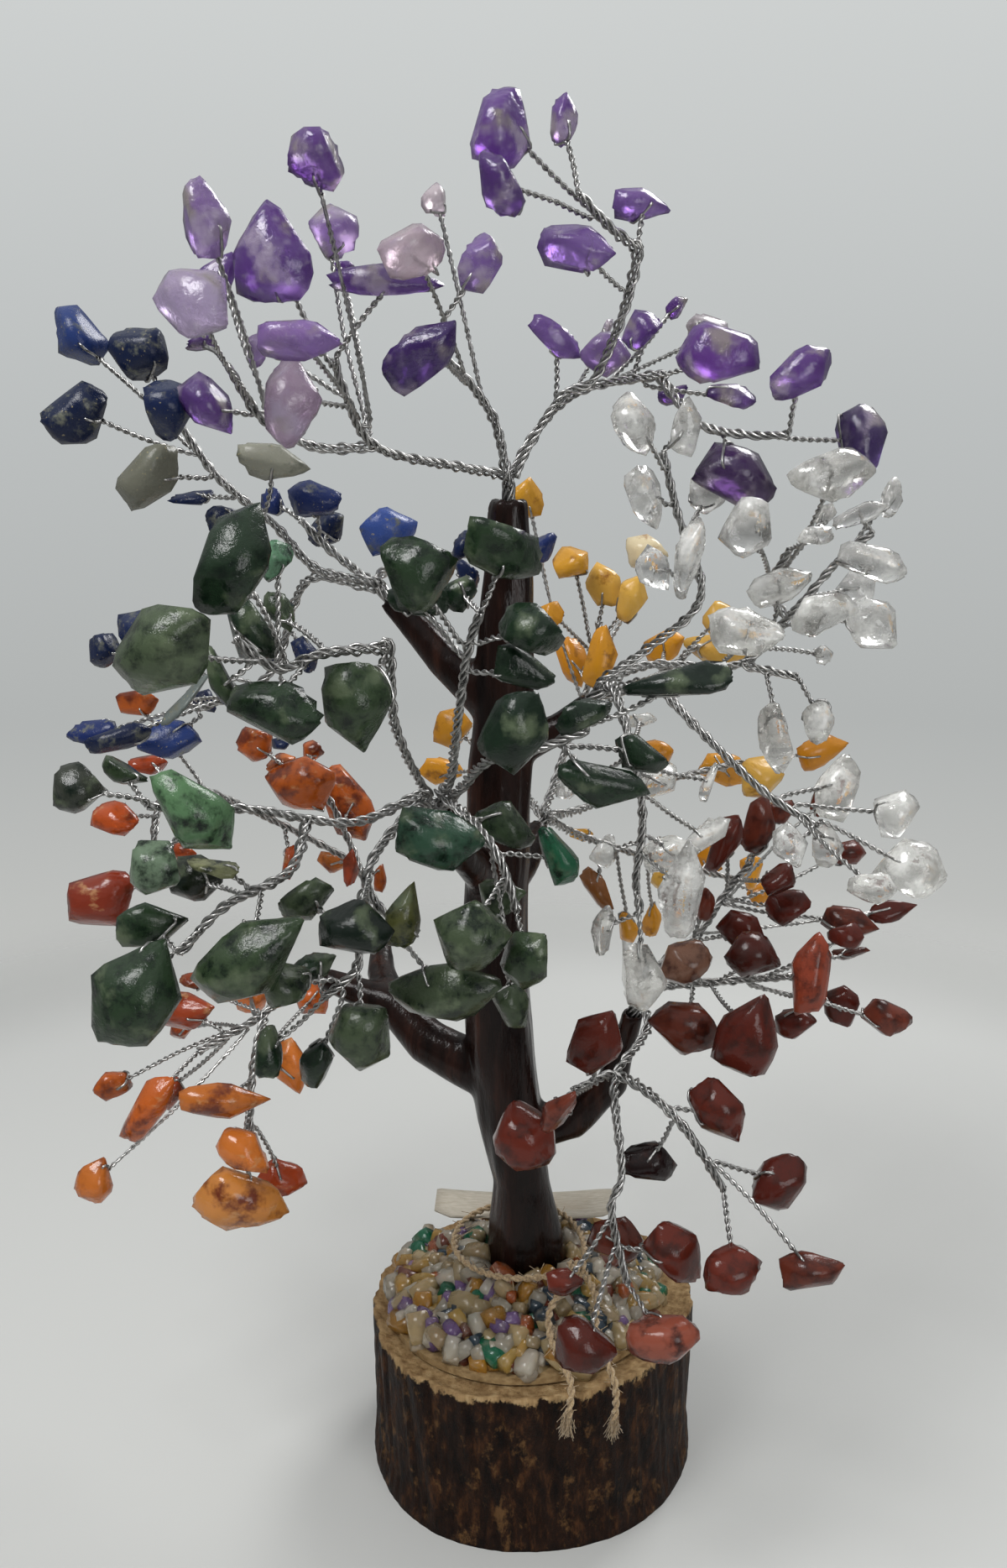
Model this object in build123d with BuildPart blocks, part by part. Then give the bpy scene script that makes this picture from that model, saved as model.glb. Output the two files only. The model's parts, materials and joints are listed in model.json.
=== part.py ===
from build123d import *
import math
import os
import random

import numpy as np

# Sizes are in millimetres. X runs to the viewer's right, Y away from the viewer and Z up.
# The origin is the middle of the log slice's underside.

# Log slice and gravel
base_foot_width = 72.0
base_top_width = 70.5
base_height = 36.0
base_top_tilt = 2.5
base_flare_height = 6.0
base_waist_width = 70.0
outline_steps = 16
outline_lobes = 3
outline_swell = 0.012
outline_ripples = 5
outline_dip = 0.008
terrace_heights = [7.0, 4.0, 1.5]
foot_gap = 0.3
gravel_width = 6.4
gravel_height = 5.0
gravel_height_least = 4.0
gravel_taper = 0.62
gravel_corner_least = 0.82
gravel_gap = 0.5

# Trunk, its stub branches and the wire core inside it
trunk_height = 175.0
trunk_sways = [-1.0, -1.0, -2.0, -4.5, -6.5, -7.5, -8.0, -7.5, -7.0, -6.0, -5.5, -5.0, -5.0]
trunk_widths = [19.0, 16.5, 12.5, 14.0, 14.5, 14.0, 13.5, 13.5, 13.0, 12.0, 11.5, 9.5, 7.5]
core_width = 4.0
core_socket_depth = 14.0
core_top_margin = 24.0
core_clearance = 0.2
core_mouth_margin = 0.8
bundle_width = 2.8
bundle_sides = 6
bundle_reach = 3.0
bundle_depth = 8.0
bundle_clearance = 0.1

# Wires
limb_width = 1.2
limb_corner_width = limb_width * math.sqrt(2)
limb_pitch = 2.1
stem_width = 0.8
stem_pitch = 1.7
stem_lean = 0.6
stem_zone = 0.65
bend_gap = 0.5
tie_step = 0.05
wire_gap = 0.2
half_diagonal = 0.71
least_slant = 0.38
steepest_share = 0.95

# Gem chips
chip_thickness_share = 0.62
chip_thickness_least = 3.4
chip_thickness_most = 7.0
chip_sides = 5
chip_corner_wander = 0.25
chip_corner_least = 0.86
chip_girdle_wander = 0.15
chip_front_shares = (0.6, 0.8)
chip_back_shares = (0.5, 0.7)
chip_tilt = 22.0
chip_gap = 0.5
hole_clearance = 0.1

# Settling: how readily a chip slides along X, Y and Z, and how finely it is done
slide_ease = np.array([0.2, 1.0, 0.2])
settle_slack = 0.1
settle_ease = 0.5
settle_stride = 1.2
settle_range = 30.0
settle_sweeps = 400
stem_leverage = 0.6
no_length = 1e-6

# Twine and hang tag
tag_width = 42.0
tag_depth = 18.0
tag_thickness = 0.6
tag_corner = 4.0
tag_hole = 3.6
tag_hole_x = -6.0
tag_hole_inset = 4.0
tag_fall = 4.0
tag_x = -1.0
tag_trunk_gap = 1.5
tag_seat_gap = 0.6
twine_width = 1.6
twine_sides = 6
knot_width = 4.2
knot_length = 5.0
knot_sides = 8
knot_shape = [(-1.0, 0.6), (-0.45, 1.0), (0.45, 1.0), (1.0, 0.6)]
knot_place = (9.6, -12.6, 50.6)
knot_axis = (-1.0, -0.3, 0.0)
bend_share = 0.45
twine_routes = {
    "twine_loop": [
        (6.8, -13.6, 50.4), (0, -14.8, 49.8), (-8.5, -13.5, 49.6), (-15, -8, 49.6), (-17.5, 0, 49.6),
        (-15, 8.5, 50.0), (-8, 13.5, 50.6), (0, 14, 50.7), (7.5, 10.5, 50.4), (11, 3.5, 50.2), (12, -4, 50.4),
        (11.2, -9.8, 50.6),
    ],
    "twine_tail_short": [
        (9, -15.2, 50.4), (5.6, -18.6, 49.2), (3.2, -23.2, 47.4), (3.8, -28.2, 45.6), (6.6, -32.8, 44),
        (7.6, -37.2, 41.4), (6.8, -38.8, 36.6),
    ],
    "twine_tail_long": [
        (11.6, -14.6, 50.4), (13.6, -18.6, 48.4), (13, -23.6, 46.6), (13.6, -28.8, 45), (15.6, -33.4, 42.4),
        (16.6, -36.4, 37.8), (16.2, -37.4, 32.4),
    ],
}

# Each stub branch: the height of its root on the trunk, then its bends from that root, each with the
# width of the branch there. The last bend is the mouth that the wire bundle comes out of.
stubs = {
    "lapis": (133.0, 10.0, [((-12, 3, 10), 7.6), ((-23, 6, 22), 4.8)]),
    "quartz": (125.0, 8.6, [((12, -1, 5), 6.4), ((18, -2, 11), 4.8)]),
    "green": (96.0, 8.8, [((-6, -13, 11), 6.4), ((-10, -24, 23), 4.8)]),
    "yellow": (92.0, 8.8, [((6, 11, 5), 6.6), ((10, 20, 11), 5.0)]),
    "carnelian": (52.0, 11.2, [((-17, 6, 7), 9.8), ((-25, 10, 14), 8.2), ((-40, 14, 18), 5.0)]),
    "red": (41.0, 10.8, [((13, -2, 3), 8.2), ((21, -4, 13), 7.2), ((25, -6, 30), 4.8)]),
}

# The carnelian branch forks at one of its bends into a second mouth that faces the rear.
rear_fork = 2
rear_width = 7.6
rear_bends = [((-3, 12, 2), 6.6), ((-4, 24, 6), 5.0)]

# Each spray of chips grows from one mouth. A limb is the run of twisted wire that carries some chips:
# its points, and then each chip's place and its length, width and turn in the viewer's plane. Places are
# right, back and up from the mouth. A limb whose first point lies on an earlier limb is tied on there.
sprays = {
    "amethyst_left": ("amethyst", [
        ([(-9, -6, 6), (-24, -16, 10), (-29, -22, 20), (-30, -24, 25)], [
            (-38, -38, 40, 17, 13, 80), (-30, -22, 55, 10, 9, 60), (-26, -12, 48, 10, 9, 40),
            (-35, -46, 28, 15, 7, -5), (-25, -18, 36, 22, 6, 5), (-31, -2, 42, 6, 5, 0),
            (-44, -18, 27, 8, 6, 80), (-36, -34, 18, 14, 10, -75),
        ]),
        ([(-24, -16, 10), (-35, -16, 10), (-44, -18, 15), (-49, -22, 24)], [
            (-51, -26, 47, 14, 9, 80), (-49, -42, 32, 15, 12, -25), (-53, -6, 41, 8, 5, 20),
            (-59, -4, 28, 9, 5, 10), (-53, -12, 17, 13, 8, -60),
        ]),
        ([(-3, -4, 15), (-10, -12, 24), (-15, -16, 26)], [
            (-14, -36, 29, 17, 10, 40), (-16, -32, 40, 12, 10, 10), (-8, -20, 41, 9, 8, 75),
            (-13, -6, 53, 8, 6, -60),
        ]),
    ]),
    "amethyst_top": ("amethyst", [
        ([(3, 0, 8), (10, 0, 19), (16, 0, 22), (21, -6, 34), (23, -10, 44)], [
            (11, -16, 45, 17, 8, -10), (23, -8, 53, 16, 6, -5),
        ]),
        ([(23, -10, 44), (18, -14, 47), (12, -18, 52)], [
            (-2, -24, 62, 14, 11, 60), (9, -14, 65, 9, 7, 75), (-2, -24, 51, 11, 9, -70),
        ]),
    ]),
    "amethyst_right": ("amethyst", [
        ([(5, 6, 12), (14, 10, 20), (29, 8, 23)], [
            (9, 8, 30, 13, 7, -35), (19, 2, 26, 10, 7, -20), (27, 14, 31, 9, 7, 0),
            (20, 20, 32, 7, 4, 80), (34, 20, 37, 9, 5, 20), (41, 24, 32, 11, 9, -30),
            (39, -8, 25, 16, 12, -30), (33, 14, 20, 8, 5, 10), (44, 12, 19, 10, 6, -10),
        ]),
        ([(29, 8, 23), (36, -2, 14), (44, -8, 12), (51, -12, 12)], [
            (52, -16, 23, 14, 10, 35), (66, -10, 11, 16, 11, -75), (43, -6, 4, 15, 11, -20),
        ]),
    ]),
    "lapis_upper": ("lapis", [
        ([(-14, -2, 6), (-22, -4, 15), (-32, -6, 24), (-40, -6, 36)], [
            (-58, -4, 50, 10, 10, 0), (-45, -10, 47, 11, 10, 45), (-57, -8, 36, 11, 10, 20),
            (-37, -16, 37, 13, 10, -75), (-44, -12, 24, 15, 10, 40), (-21, -10, 28, 15, 7, -5),
            (-37, 0, 19, 10, 4, 0), (-33, 0, 16, 8, 5, 30),
        ]),
        ([(-12, 5, 9), (-18, 6, 15)], [
            (-24, 10, 18, 7, 6, 60), (-14, 0, 19, 12, 8, 15), (-14, 12, 13, 9, 7, 30),
        ]),
        ([(0, 8, 5), (12, 14, 7), (23, 18, 7), (27, 18, 7)], [
            (0, 0, 14, 12, 10, 20), (15, 10, 9, 7, 5, 60), (17, 8, 4, 7, 5, -60),
            (31, 12, 9, 8, 6, 75),
        ]),
    ]),
    "lapis_lower": ("lapis", [
        ([(-15, 2, 4), (-20, 6, -2), (-24, 8, -14), (-30, 8, -20), (-41, 6, -24)], [
            (-60, 8, -12, 8, 7, -10), (-50, 4, -6, 12, 8, 10), (-62, 4, -29, 12, 7, 5),
            (-55, -4, -28, 14, 6, 10), (-47, 0, -30, 13, 9, -10), (-18, 4, -12, 9, 7, -60),
            (-25, 14, -33, 6, 4, 0), (-27, 18, -15, 6, 4, 20), (-41, -6, -20, 15, 3, 45),
            (-42, 14, -24, 8, 6, 0),
        ]),
    ]),
    "green_far": ("green", [
        ([(-4, -8, 9), (-7, -18, 21), (-7, -26, 35)], [
            (-12, -30, 26, 14, 11, -75),
        ]),
        ([(-7, -26, 35), (-17, -32, 35), (-24, -34, 33), (-30, -36, 38)], [
            (-24, -42, 28, 14, 9, -10), (-33, -34, 30, 13, 6, -70), (-29, -28, 38, 11, 8, -70),
            (-37, -48, 38, 17, 12, 35), (-29, -46, 51, 15, 10, 60), (-23, -34, 50, 8, 6, 60),
            (-25, -22, 40, 9, 6, -80),
        ]),
    ]),
    "green_upper": ("green", [
        ([(2, -8, 8), (4, -20, 22), (6, -26, 35), (8, -28, 41)], [
            (-1, -36, 49, 13, 10, 20), (-2, -24, 42, 12, 6, -5), (4, -20, 44, 6, 6, 0),
            (11, -32, 51, 13, 8, -25), (16, -36, 39, 12, 9, -15), (15, -30, 32, 11, 6, -5),
        ]),
        ([(4, -10, 7), (9, -22, 15), (17, -30, 19), (25, -34, 23)], [
            (13, -50, 27, 12, 10, 60), (24, -40, 27, 11, 6, 25), (39, -42, 32, 16, 7, 10),
            (28, -34, 14, 13, 8, -25), (35, -28, 18, 9, 5, 0),
        ]),
    ]),
    "green_right": ("green", [
        ([(2, -8, 4), (6, -16, 3), (11, -22, -2), (14, -24, -11)], [
            (0, -22, 2, 16, 9, -20), (12, -12, 1, 10, 9, 0), (21, -22, -2, 10, 8, -60),
            (6, -34, -11, 12, 11, 20), (11, -14, -12, 9, 6, 15), (15, -32, -17, 12, 9, 55),
            (13, -18, -31, 9, 7, -60),
        ]),
    ]),
    "green_left": ("green", [
        ([(-3, -6, 5), (-14, -10, 1), (-23, -12, 2), (-33, -16, 5), (-50, -18, 6)], [
            (-40, -28, 8, 15, 10, -55), (-61, -22, 10, 9, 8, -15), (-55, -14, 11, 7, 5, -30),
            (-47, -26, -2, 9, 8, -20),
        ]),
        ([(-23, -12, 2), (-26, -18, -6), (-36, -24, -10), (-44, -26, -18)], [
            (-38, -20, -4, 12, 3, -10), (-44, -10, -10, 9, 8, 0), (-50, -20, -15, 12, 8, 15),
            (-47, -38, -20, 17, 13, 75), (-30, -36, -15, 19, 10, 35),
        ]),
    ]),
    "green_lower": ("green", [
        ([(-4, -8, 3), (-10, -16, -2), (-12, -20, -7), (-9, -22, -12), (-3, -24, -15)], [
            (-14, -34, -10, 12, 9, 0), (-5, -28, -10, 11, 6, 75), (2, -28, -25, 17, 8, 10),
        ]),
        ([(-12, -20, -7), (-14, -22, -14), (-14, -22, -22), (-20, -22, -28)], [
            (-23, -16, -12, 10, 7, 10), (-12, -30, -31, 12, 10, 50), (-21, -26, -39, 10, 6, 75),
            (-30, -22, -38, 9, 5, 85), (-26, -28, -23, 9, 8, 30), (-22, -16, -24, 8, 5, 25),
        ]),
    ]),
    "quartz_upper": ("quartz", [
        ([(10, -2, 10), (20, -6, 21), (15, -6, 37), (12, -6, 48)], [
            (7, -12, 52, 11, 8, -70), (16, -6, 53, 13, 6, 80), (9, -10, 40, 13, 7, -65),
            (16, -16, 30, 16, 6, 80), (10, -14, 28, 9, 7, -50), (22, 2, 40, 10, 8, -20),
        ]),
    ]),
    "quartz_right": ("quartz", [
        ([(12, 5, 6), (30, 6, 6), (39, 6, 15), (49, 6, 27), (55, 6, 32)], [
            (51, 2, 36, 14, 6, 25), (60, 12, 39, 10, 6, 80), (54, 2, 26, 13, 7, -15),
            (35, -2, 22, 15, 7, 25), (29, -8, 15, 16, 8, 0), (43, -6, 18, 13, 8, -10),
            (55, 16, 20, 10, 9, 20), (54, 0, 15, 11, 9, -50), (48, 12, 7, 6, 5, 0),
        ]),
        ([(39, 6, 15), (36, 10, 21), (39, 6, 29)], [
            (31, -8, 33, 11, 9, 40), (41, -6, 33, 10, 5, 5), (40, -14, 44, 17, 10, 0),
            (48, 16, 35, 7, 5, 60),
        ]),
        ([(30, 6, 6), (41, 2, 4)], [
            (46, -2, -5, 10, 7, -70), (36, -6, -7, 14, 7, -80),
        ]),
    ]),
    "quartz_far": ("quartz", [
        ([(11, -5, 4), (20, -10, -4), (32, -14, -15), (42, -18, -21)], [
            (37, -22, -23, 9, 7, -70), (47, -8, -15, 13, 8, 75), (47, -6, -28, 10, 6, 80),
            (57, -20, -19, 10, 8, 10), (58, -28, -27, 13, 11, -20), (49, -28, -30, 9, 7, -10),
        ]),
    ]),
    "quartz_lower": ("quartz", [
        ([(4, -9, 3), (7, -15, -8), (9, -16, -20), (8, -16, -32), (9, -16, -39)], [
            (15, -4, -15, 11, 9, 35), (20, 0, -16, 10, 4, 80), (10, 4, -5, 9, 4, 0),
            (15, -12, -28, 13, 8, 15), (21, -4, -26, 11, 6, 40), (16, -24, -32, 19, 8, 85),
            (2, -10, -29, 7, 6, 50), (2, -14, -43, 10, 5, 85), (9, -22, -49, 13, 9, -75),
            (-5, -2, -18, 5, 4, 0),
        ]),
    ]),
    "yellow_upper": ("yellow", [
        ([(4, 12, 9), (9, 22, 21), (13, 28, 31), (14, 30, 41)], [
            (-3, 26, 69, 10, 8, 70), (8, 24, 55, 9, 8, 30), (3, 20, 45, 6, 6, 0),
            (16, 34, 48, 11, 8, -45), (21, 24, 47, 11, 8, 75), (26, 40, 56, 9, 8, 0),
            (9, 36, 30, 12, 7, -70), (13, 20, 34, 13, 6, 75),
        ]),
        ([(9, 22, 21), (29, 30, 29), (37, 32, 35)], [
            (42, 26, 43, 8, 8, 30), (42, 38, 34, 13, 9, -10), (31, 42, 33, 10, 8, 20),
        ]),
        ([(-4, 14, 5), (-11, 22, 11), (-16, 24, 14)], [
            (-20, 26, 16, 10, 9, 60), (-13, 36, 25, 10, 8, 20), (-24, 38, 3, 10, 8, -20),
        ]),
    ]),
    "yellow_right": ("yellow", [
        ([(9, 14, 0), (24, 26, 2), (43, 34, 5), (54, 38, 6)], [
            (47, 46, 1, 13, 8, -20), (54, 30, 4, 10, 9, 0), (70, 42, 7, 13, 6, 15),
            (29, 42, 6, 10, 8, 0),
        ]),
        ([(7, 14, -5), (18, 24, -12), (33, 30, -18), (48, 34, -23)], [
            (10, 24, -9, 6, 4, 0), (42, 26, -13, 8, 6, 0), (43, 42, -22, 7, 6, 0),
            (52, 30, -20, 7, 7, 20), (56, 40, -29, 6, 5, 0), (30, 22, -18, 7, 6, 60),
            (22, 26, -33, 9, 6, 80), (29, 36, -34, 10, 5, 85), (14, 18, -20, 12, 6, -45),
        ]),
    ]),
    "red_right": ("red", [
        ([(3, -2, 6), (13, -2, 7), (23, 0, 7), (34, 2, 7)], [
            (23, -8, 15, 11, 9, -20), (33, -12, 13, 17, 8, 85), (35, 6, -4, 10, 8, 0),
            (47, 14, -7, 9, 8, -60), (54, 8, -5, 11, 9, -35), (18, -20, 6, 19, 11, 70),
            (6, -14, -1, 14, 11, -30), (9, -14, 15, 10, 9, 60), (42, -4, 18, 8, 7, 0),
            (48, 16, 7, 9, 4, 5),
        ]),
    ]),
    "red_upper": ("red", [
        ([(6, 8, 7), (15, 14, 12), (22, 20, 20), (27, 22, 25)], [
            (20, 14, 32, 14, 8, 70), (28, 20, 34, 13, 8, 70), (34, 30, 35, 7, 6, 0),
            (29, 10, 27, 9, 7, 30), (16, 8, 20, 10, 4, 85), (22, 6, 16, 11, 9, -20),
            (33, 10, 20, 10, 8, -10), (46, 18, 15, 13, 8, -15), (49, 30, 33, 9, 7, 60),
            (49, 26, 25, 9, 7, 0), (59, 22, 14, 13, 6, 15),
        ]),
    ]),
    "red_front": ("red", [
        ([(2, -10, 1), (-5, -22, -3), (-6, -30, -6), (-5, -36, -17), (-7, -38, -23), (-4, -40, -37)], [
            (-5, -34, -34, 11, 9, 0), (4, -40, -32, 13, 10, -35), (-16, -46, -33, 8, 5, 10),
            (-12, -50, -44, 12, 10, 0), (1, -48, -43, 14, 10, 5),
        ]),
        ([(-5, -22, -3), (1, -30, -4), (7, -34, -9), (14, -36, -20)], [
            (13, -28, -6, 14, 10, -60), (1, -28, -19, 11, 8, -5), (25, -32, -21, 12, 10, 70),
            (28, -40, -29, 12, 7, 20), (14, -42, -29, 11, 10, 0),
        ]),
        ([(-5, -22, -3), (-10, -28, -2), (-14, -32, -2)], [
            (-10, -36, 10, 14, 9, 60), (-23, -40, -7, 13, 11, -30), (-18, -46, 1, 13, 6, 70),
        ]),
    ]),
    "carnelian_lower": ("carnelian", [
        ([(-7, -4, 0), (-11, -11, -3), (-17, -14, -6), (-25, -16, -10)], [
            (-28, -6, -7, 16, 9, 20), (-44, -2, -19, 9, 8, -30), (-38, 2, -17, 8, 5, 60),
            (-33, -22, -17, 19, 8, 55), (-33, -8, -23, 9, 7, 60), (-46, -20, -30, 11, 8, 60),
            (-30, 6, -5, 7, 5, 0), (-20, 0, -14, 10, 10, 0),
        ]),
        ([(-11, -11, -3), (-12, -20, -8), (-13, -24, -17), (-13, -26, -29)], [
            (-17, -32, -13, 18, 7, -10), (-13, -34, -22, 12, 8, -25), (-15, -32, -36, 21, 13, -30),
            (-8, -18, -39, 10, 8, -30), (-7, -8, -14, 12, 8, -75), (-3, 10, -13, 9, 8, 30),
        ]),
    ]),
    "carnelian_rear": ("rear", [
        ([(-2, 4, 5), (-6, 10, 15), (-12, 14, 28), (-17, 16, 35)], [
            (-30, 10, 42, 10, 9, -30), (-26, 20, 36, 9, 7, 30), (-19, 26, 38, 7, 6, 0),
            (-20, 6, 32, 18, 13, 10), (-10, 24, 26, 18, 13, -60), (-13, 18, 13, 8, 6, -20),
            (-7, 2, 16, 9, 4, 85), (-1, 12, 11, 8, 4, 80),
        ]),
        ([(-6, 10, 15), (-23, 8, 25), (-37, 2, 34), (-46, -6, 40)], [
            (-53, -2, 56, 12, 6, 0), (-51, 0, 42, 9, 6, -10), (-43, -8, 24, 6, 5, 0),
            (-21, 2, 18, 9, 5, 75),
        ]),
        ([(-46, -6, 40), (-48, -12, 32), (-48, -18, 20)], [
            (-55, -20, 35, 12, 8, 0), (-57, -28, 19, 16, 13, 10),
        ]),
    ]),
}


def unit(vectors):
    """One vector, or each row of many, at a length of one."""
    return vectors / np.linalg.norm(vectors, axis=-1, keepdims=True)


def frames_along(ways):
    """Three square axes for each way: along it, then as near to Y as can be, then across both."""
    along = unit(ways)
    side = np.where(np.abs(along[:, 1:2]) < steepest_share, [[0.0, 1.0, 0.0]], [[1.0, 0.0, 0.0]])
    across = unit(side - along * np.sum(side * along, axis=1, keepdims=True))
    return np.stack([along, across, np.cross(along, across)], axis=1)


def rod_boxes(starts, ends, widths):
    """Straight rods as boxes: their middles, axes and half sizes."""
    lengths = np.linalg.norm(ends - starts, axis=1)
    halves = np.stack([lengths, widths, widths], axis=1) / 2
    return (starts + ends) / 2, frames_along(ends - starts), halves


# The trunk's spine runs through evenly spaced levels from the log's top to the trunk's top.
levels = np.linspace(0, trunk_height, len(trunk_sways))


def spine(height):
    """The middle of the trunk at a height above the log's top."""
    return np.array([np.interp(height, levels, trunk_sways), 0.0, base_height + height])


class Branch:
    """A stub branch: the middles and widths of its rings, its mouth and the way the mouth faces."""

    def __init__(self, root, root_width, bends):
        self.points = [root] + [root + np.array(offset, float) for offset, _ in bends]
        self.widths = [root_width] + [width for _, width in bends]
        self.mouth = self.points[-1]
        self.facing = unit(self.points[-1] - self.points[-2])
        self.bundle_tip = self.mouth + self.facing * bundle_reach
        self.bundle_foot = self.mouth - self.facing * bundle_depth


branches = {name: Branch(spine(height), width, bends) for name, (height, width, bends) in stubs.items()}
branches["rear"] = Branch(branches["carnelian"].points[rear_fork], rear_width, rear_bends)
branches["amethyst"] = Branch(spine(levels[-2]), trunk_widths[-2],
                              [(spine(trunk_height) - spine(levels[-2]), trunk_widths[-1])])


class Limb:
    """A run of twisted wire from a bundle, or from an earlier limb, past the roots of its chips' stems."""

    def __init__(self, points, tied_on):
        self.points = [np.array(point, float) for point in points]
        self.tied_on = tied_on
        self.chips = []

    def runs(self):
        """Each straight run as its two ends."""
        return list(zip(self.points, self.points[1:]))

    def swept(self):
        """Each run drawn out at its bends, as far as the corners of the swept wire stand out there."""
        bends = [no_length] + [limb_width / 2] * (len(self.points) - 2) + [no_length]
        return [(start - unit(end - start) * back, end + unit(end - start) * on)
                for (start, end), back, on in zip(self.runs(), bends, bends[1:])]

    def length(self):
        """The limb's whole length."""
        return sum(np.linalg.norm(end - start) for start, end in self.runs())

    def at(self, distance):
        """The point at a distance along the limb, and the way the limb runs there."""
        for start, end in self.runs():
            run = np.linalg.norm(end - start)
            if distance <= run:
                return start + (end - start) * distance / run, (end - start) / run
            distance -= run
        start, end = self.runs()[-1]
        return end, unit(end - start)

    def nearest(self, place):
        """The distance along the limb of its nearest point to a place, and how far off the place is."""
        found = []
        passed = 0.0
        for start, end in self.runs():
            run = np.linalg.norm(end - start)
            share = np.clip(np.dot(place - start, end - start) / run ** 2, 0, 1)
            found.append((np.linalg.norm(place - start - (end - start) * share), passed + share * run))
            passed += run
        off, along = min(found)
        return along, off


class Chip:
    """A drilled gem chip, hung on a limb by a stem of twisted wire."""

    def __init__(self, limb, centre, size, turn, chance):
        self.limb = limb
        self.centre = centre
        length, width = size
        thickness = np.clip(width * chip_thickness_share, chip_thickness_least, chip_thickness_most)
        self.half = np.array([length, width, thickness]) / 2
        turn = math.radians(turn)
        pitch, yaw = (math.radians(chance.uniform(-chip_tilt, chip_tilt)) for _ in range(2))
        right, up = math.cos(turn), math.sin(turn)
        along = np.array([right * math.cos(yaw), math.sin(yaw), up * math.cos(yaw)])
        across = np.array([-up * math.cos(pitch), math.sin(pitch), right * math.cos(pitch)])
        across = unit(across - along * np.dot(across, along))
        self.axes = np.array([along, across, np.cross(along, across)])
        step = 2 * math.pi / chip_sides
        self.corners = [(step * (side + chance.uniform(-chip_corner_wander, chip_corner_wander)),
                         chance.uniform(chip_corner_least, 1.0))
                        for side in range(chip_sides)]
        self.girdle = chance.uniform(-chip_girdle_wander, chip_girdle_wander)
        self.cap_shares = (chance.uniform(*chip_front_shares), chance.uniform(*chip_back_shares))
        self.station = 0.0
        self.root = None

    def section(self, height_share, share):
        """The corners of a slice across the chip, and the plane that the slice lies in."""
        plane = Plane(origin=tuple(self.centre + self.axes[2] * self.half[2] * height_share),
                      x_dir=tuple(self.axes[0]), z_dir=tuple(self.axes[2]))
        length, width = self.half[:2] * share
        corners = [(length * reach * math.cos(angle), width * reach * math.sin(angle))
                   for angle, reach in self.corners]
        return plane, corners


def place_sprays():
    """Every spray's limbs, with their chips hung on them in order along the limb."""
    placed = {}
    for spray, (branch_name, table) in sprays.items():
        mouth = branches[branch_name].mouth
        chance = random.Random(spray)
        limbs = []
        for route, chip_rows in table:
            tied_on = any(route[0] in earlier for earlier, _ in table[:len(limbs)])
            limb = Limb([mouth + np.array(point) for point in route], tied_on)
            limb.chips = [Chip(limb, mouth + np.array(place), size, turn, chance)
                          for *place, length, width, turn in chip_rows for size in [(length, width)]]
            limbs.append(limb)
        placed[spray] = limbs
    for name, branch in branches.items():
        groups = [limbs for spray, limbs in placed.items() if sprays[spray][0] == name]
        fan_out(branch, [limb for limbs in groups for limb in limbs if not limb.tied_on])
    for limbs in placed.values():
        for limb in limbs:
            if limb.tied_on:
                tie_on(limb, limbs)
            hang(limb)
    return placed


def fan_out(branch, limbs):
    """Starts each limb on a ring round the bundle's tip, in the order of the ways they leave it."""
    across, aside = frames_along(branch.facing[None])[0][1:]
    leaving = [limb.points[0] - branch.bundle_tip for limb in limbs]
    angles = [math.atan2(np.dot(way, aside), np.dot(way, across)) for way in leaving]
    order = sorted(range(len(limbs)), key=lambda index: angles[index])
    step = 2 * math.pi / len(limbs)
    ring = limb_pitch / (2 * math.sin(step / 2)) if len(limbs) > 1 else 0.0
    shift = sum(angles[index] - slot * step for slot, index in enumerate(order)) / len(limbs)
    for slot, index in enumerate(order):
        angle = shift + slot * step
        spot = branch.bundle_tip + ring * (math.cos(angle) * across + math.sin(angle) * aside)
        tilt = np.linalg.norm(np.cross(unit(limbs[index].points[0] - spot), branch.facing))
        limbs[index].points.insert(0, spot + branch.facing * (bend_gap + limb_width * half_diagonal * tilt))


def clear_start(start, end, width, rods, otherwise):
    """Slides a wire's start towards its end until it is just clear of other wires."""
    starts, ends, widths = (np.array(column) for column in zip(*rods))
    others = rod_boxes(starts, ends, widths)
    for offset in np.arange(wire_gap, np.linalg.norm(end - start), tie_step):
        moved = start + unit(end - start) * offset
        wire = rod_boxes(moved[None], end[None], np.array([width]))
        wire = [np.repeat(column, len(rods), axis=0) for column in wire]
        if not push_apart(wire, others, np.full(len(rods), wire_gap))[0].any():
            return moved
    return otherwise


def tie_on(limb, limbs):
    """Starts a side limb just clear of the limb it is tied to."""
    rods = [(*run, limb_corner_width) for other in limbs if other is not limb for run in other.swept()]
    limb.points[0] = clear_start(limb.points[0], limb.points[1], limb_width, rods, limb.points[0])


def hang(limb):
    """Spaces the stems' roots along the limb, each leaning back from its chip towards the trunk."""
    whole = limb.length()
    for chip in limb.chips:
        along, off = limb.nearest(chip.centre)
        chip.station = along - stem_lean * off
    limb.chips.sort(key=lambda chip: chip.station)
    pitch = min(stem_pitch, stem_zone * whole / len(limb.chips))
    floor = (1 - stem_zone) * whole
    for chip in limb.chips:
        chip.station = max(chip.station, floor)
        floor = chip.station + pitch
    ceiling = whole
    for chip in reversed(limb.chips):
        chip.station = min(chip.station, ceiling)
        ceiling = chip.station - pitch
    limb.chips[-1].station = whole


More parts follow.
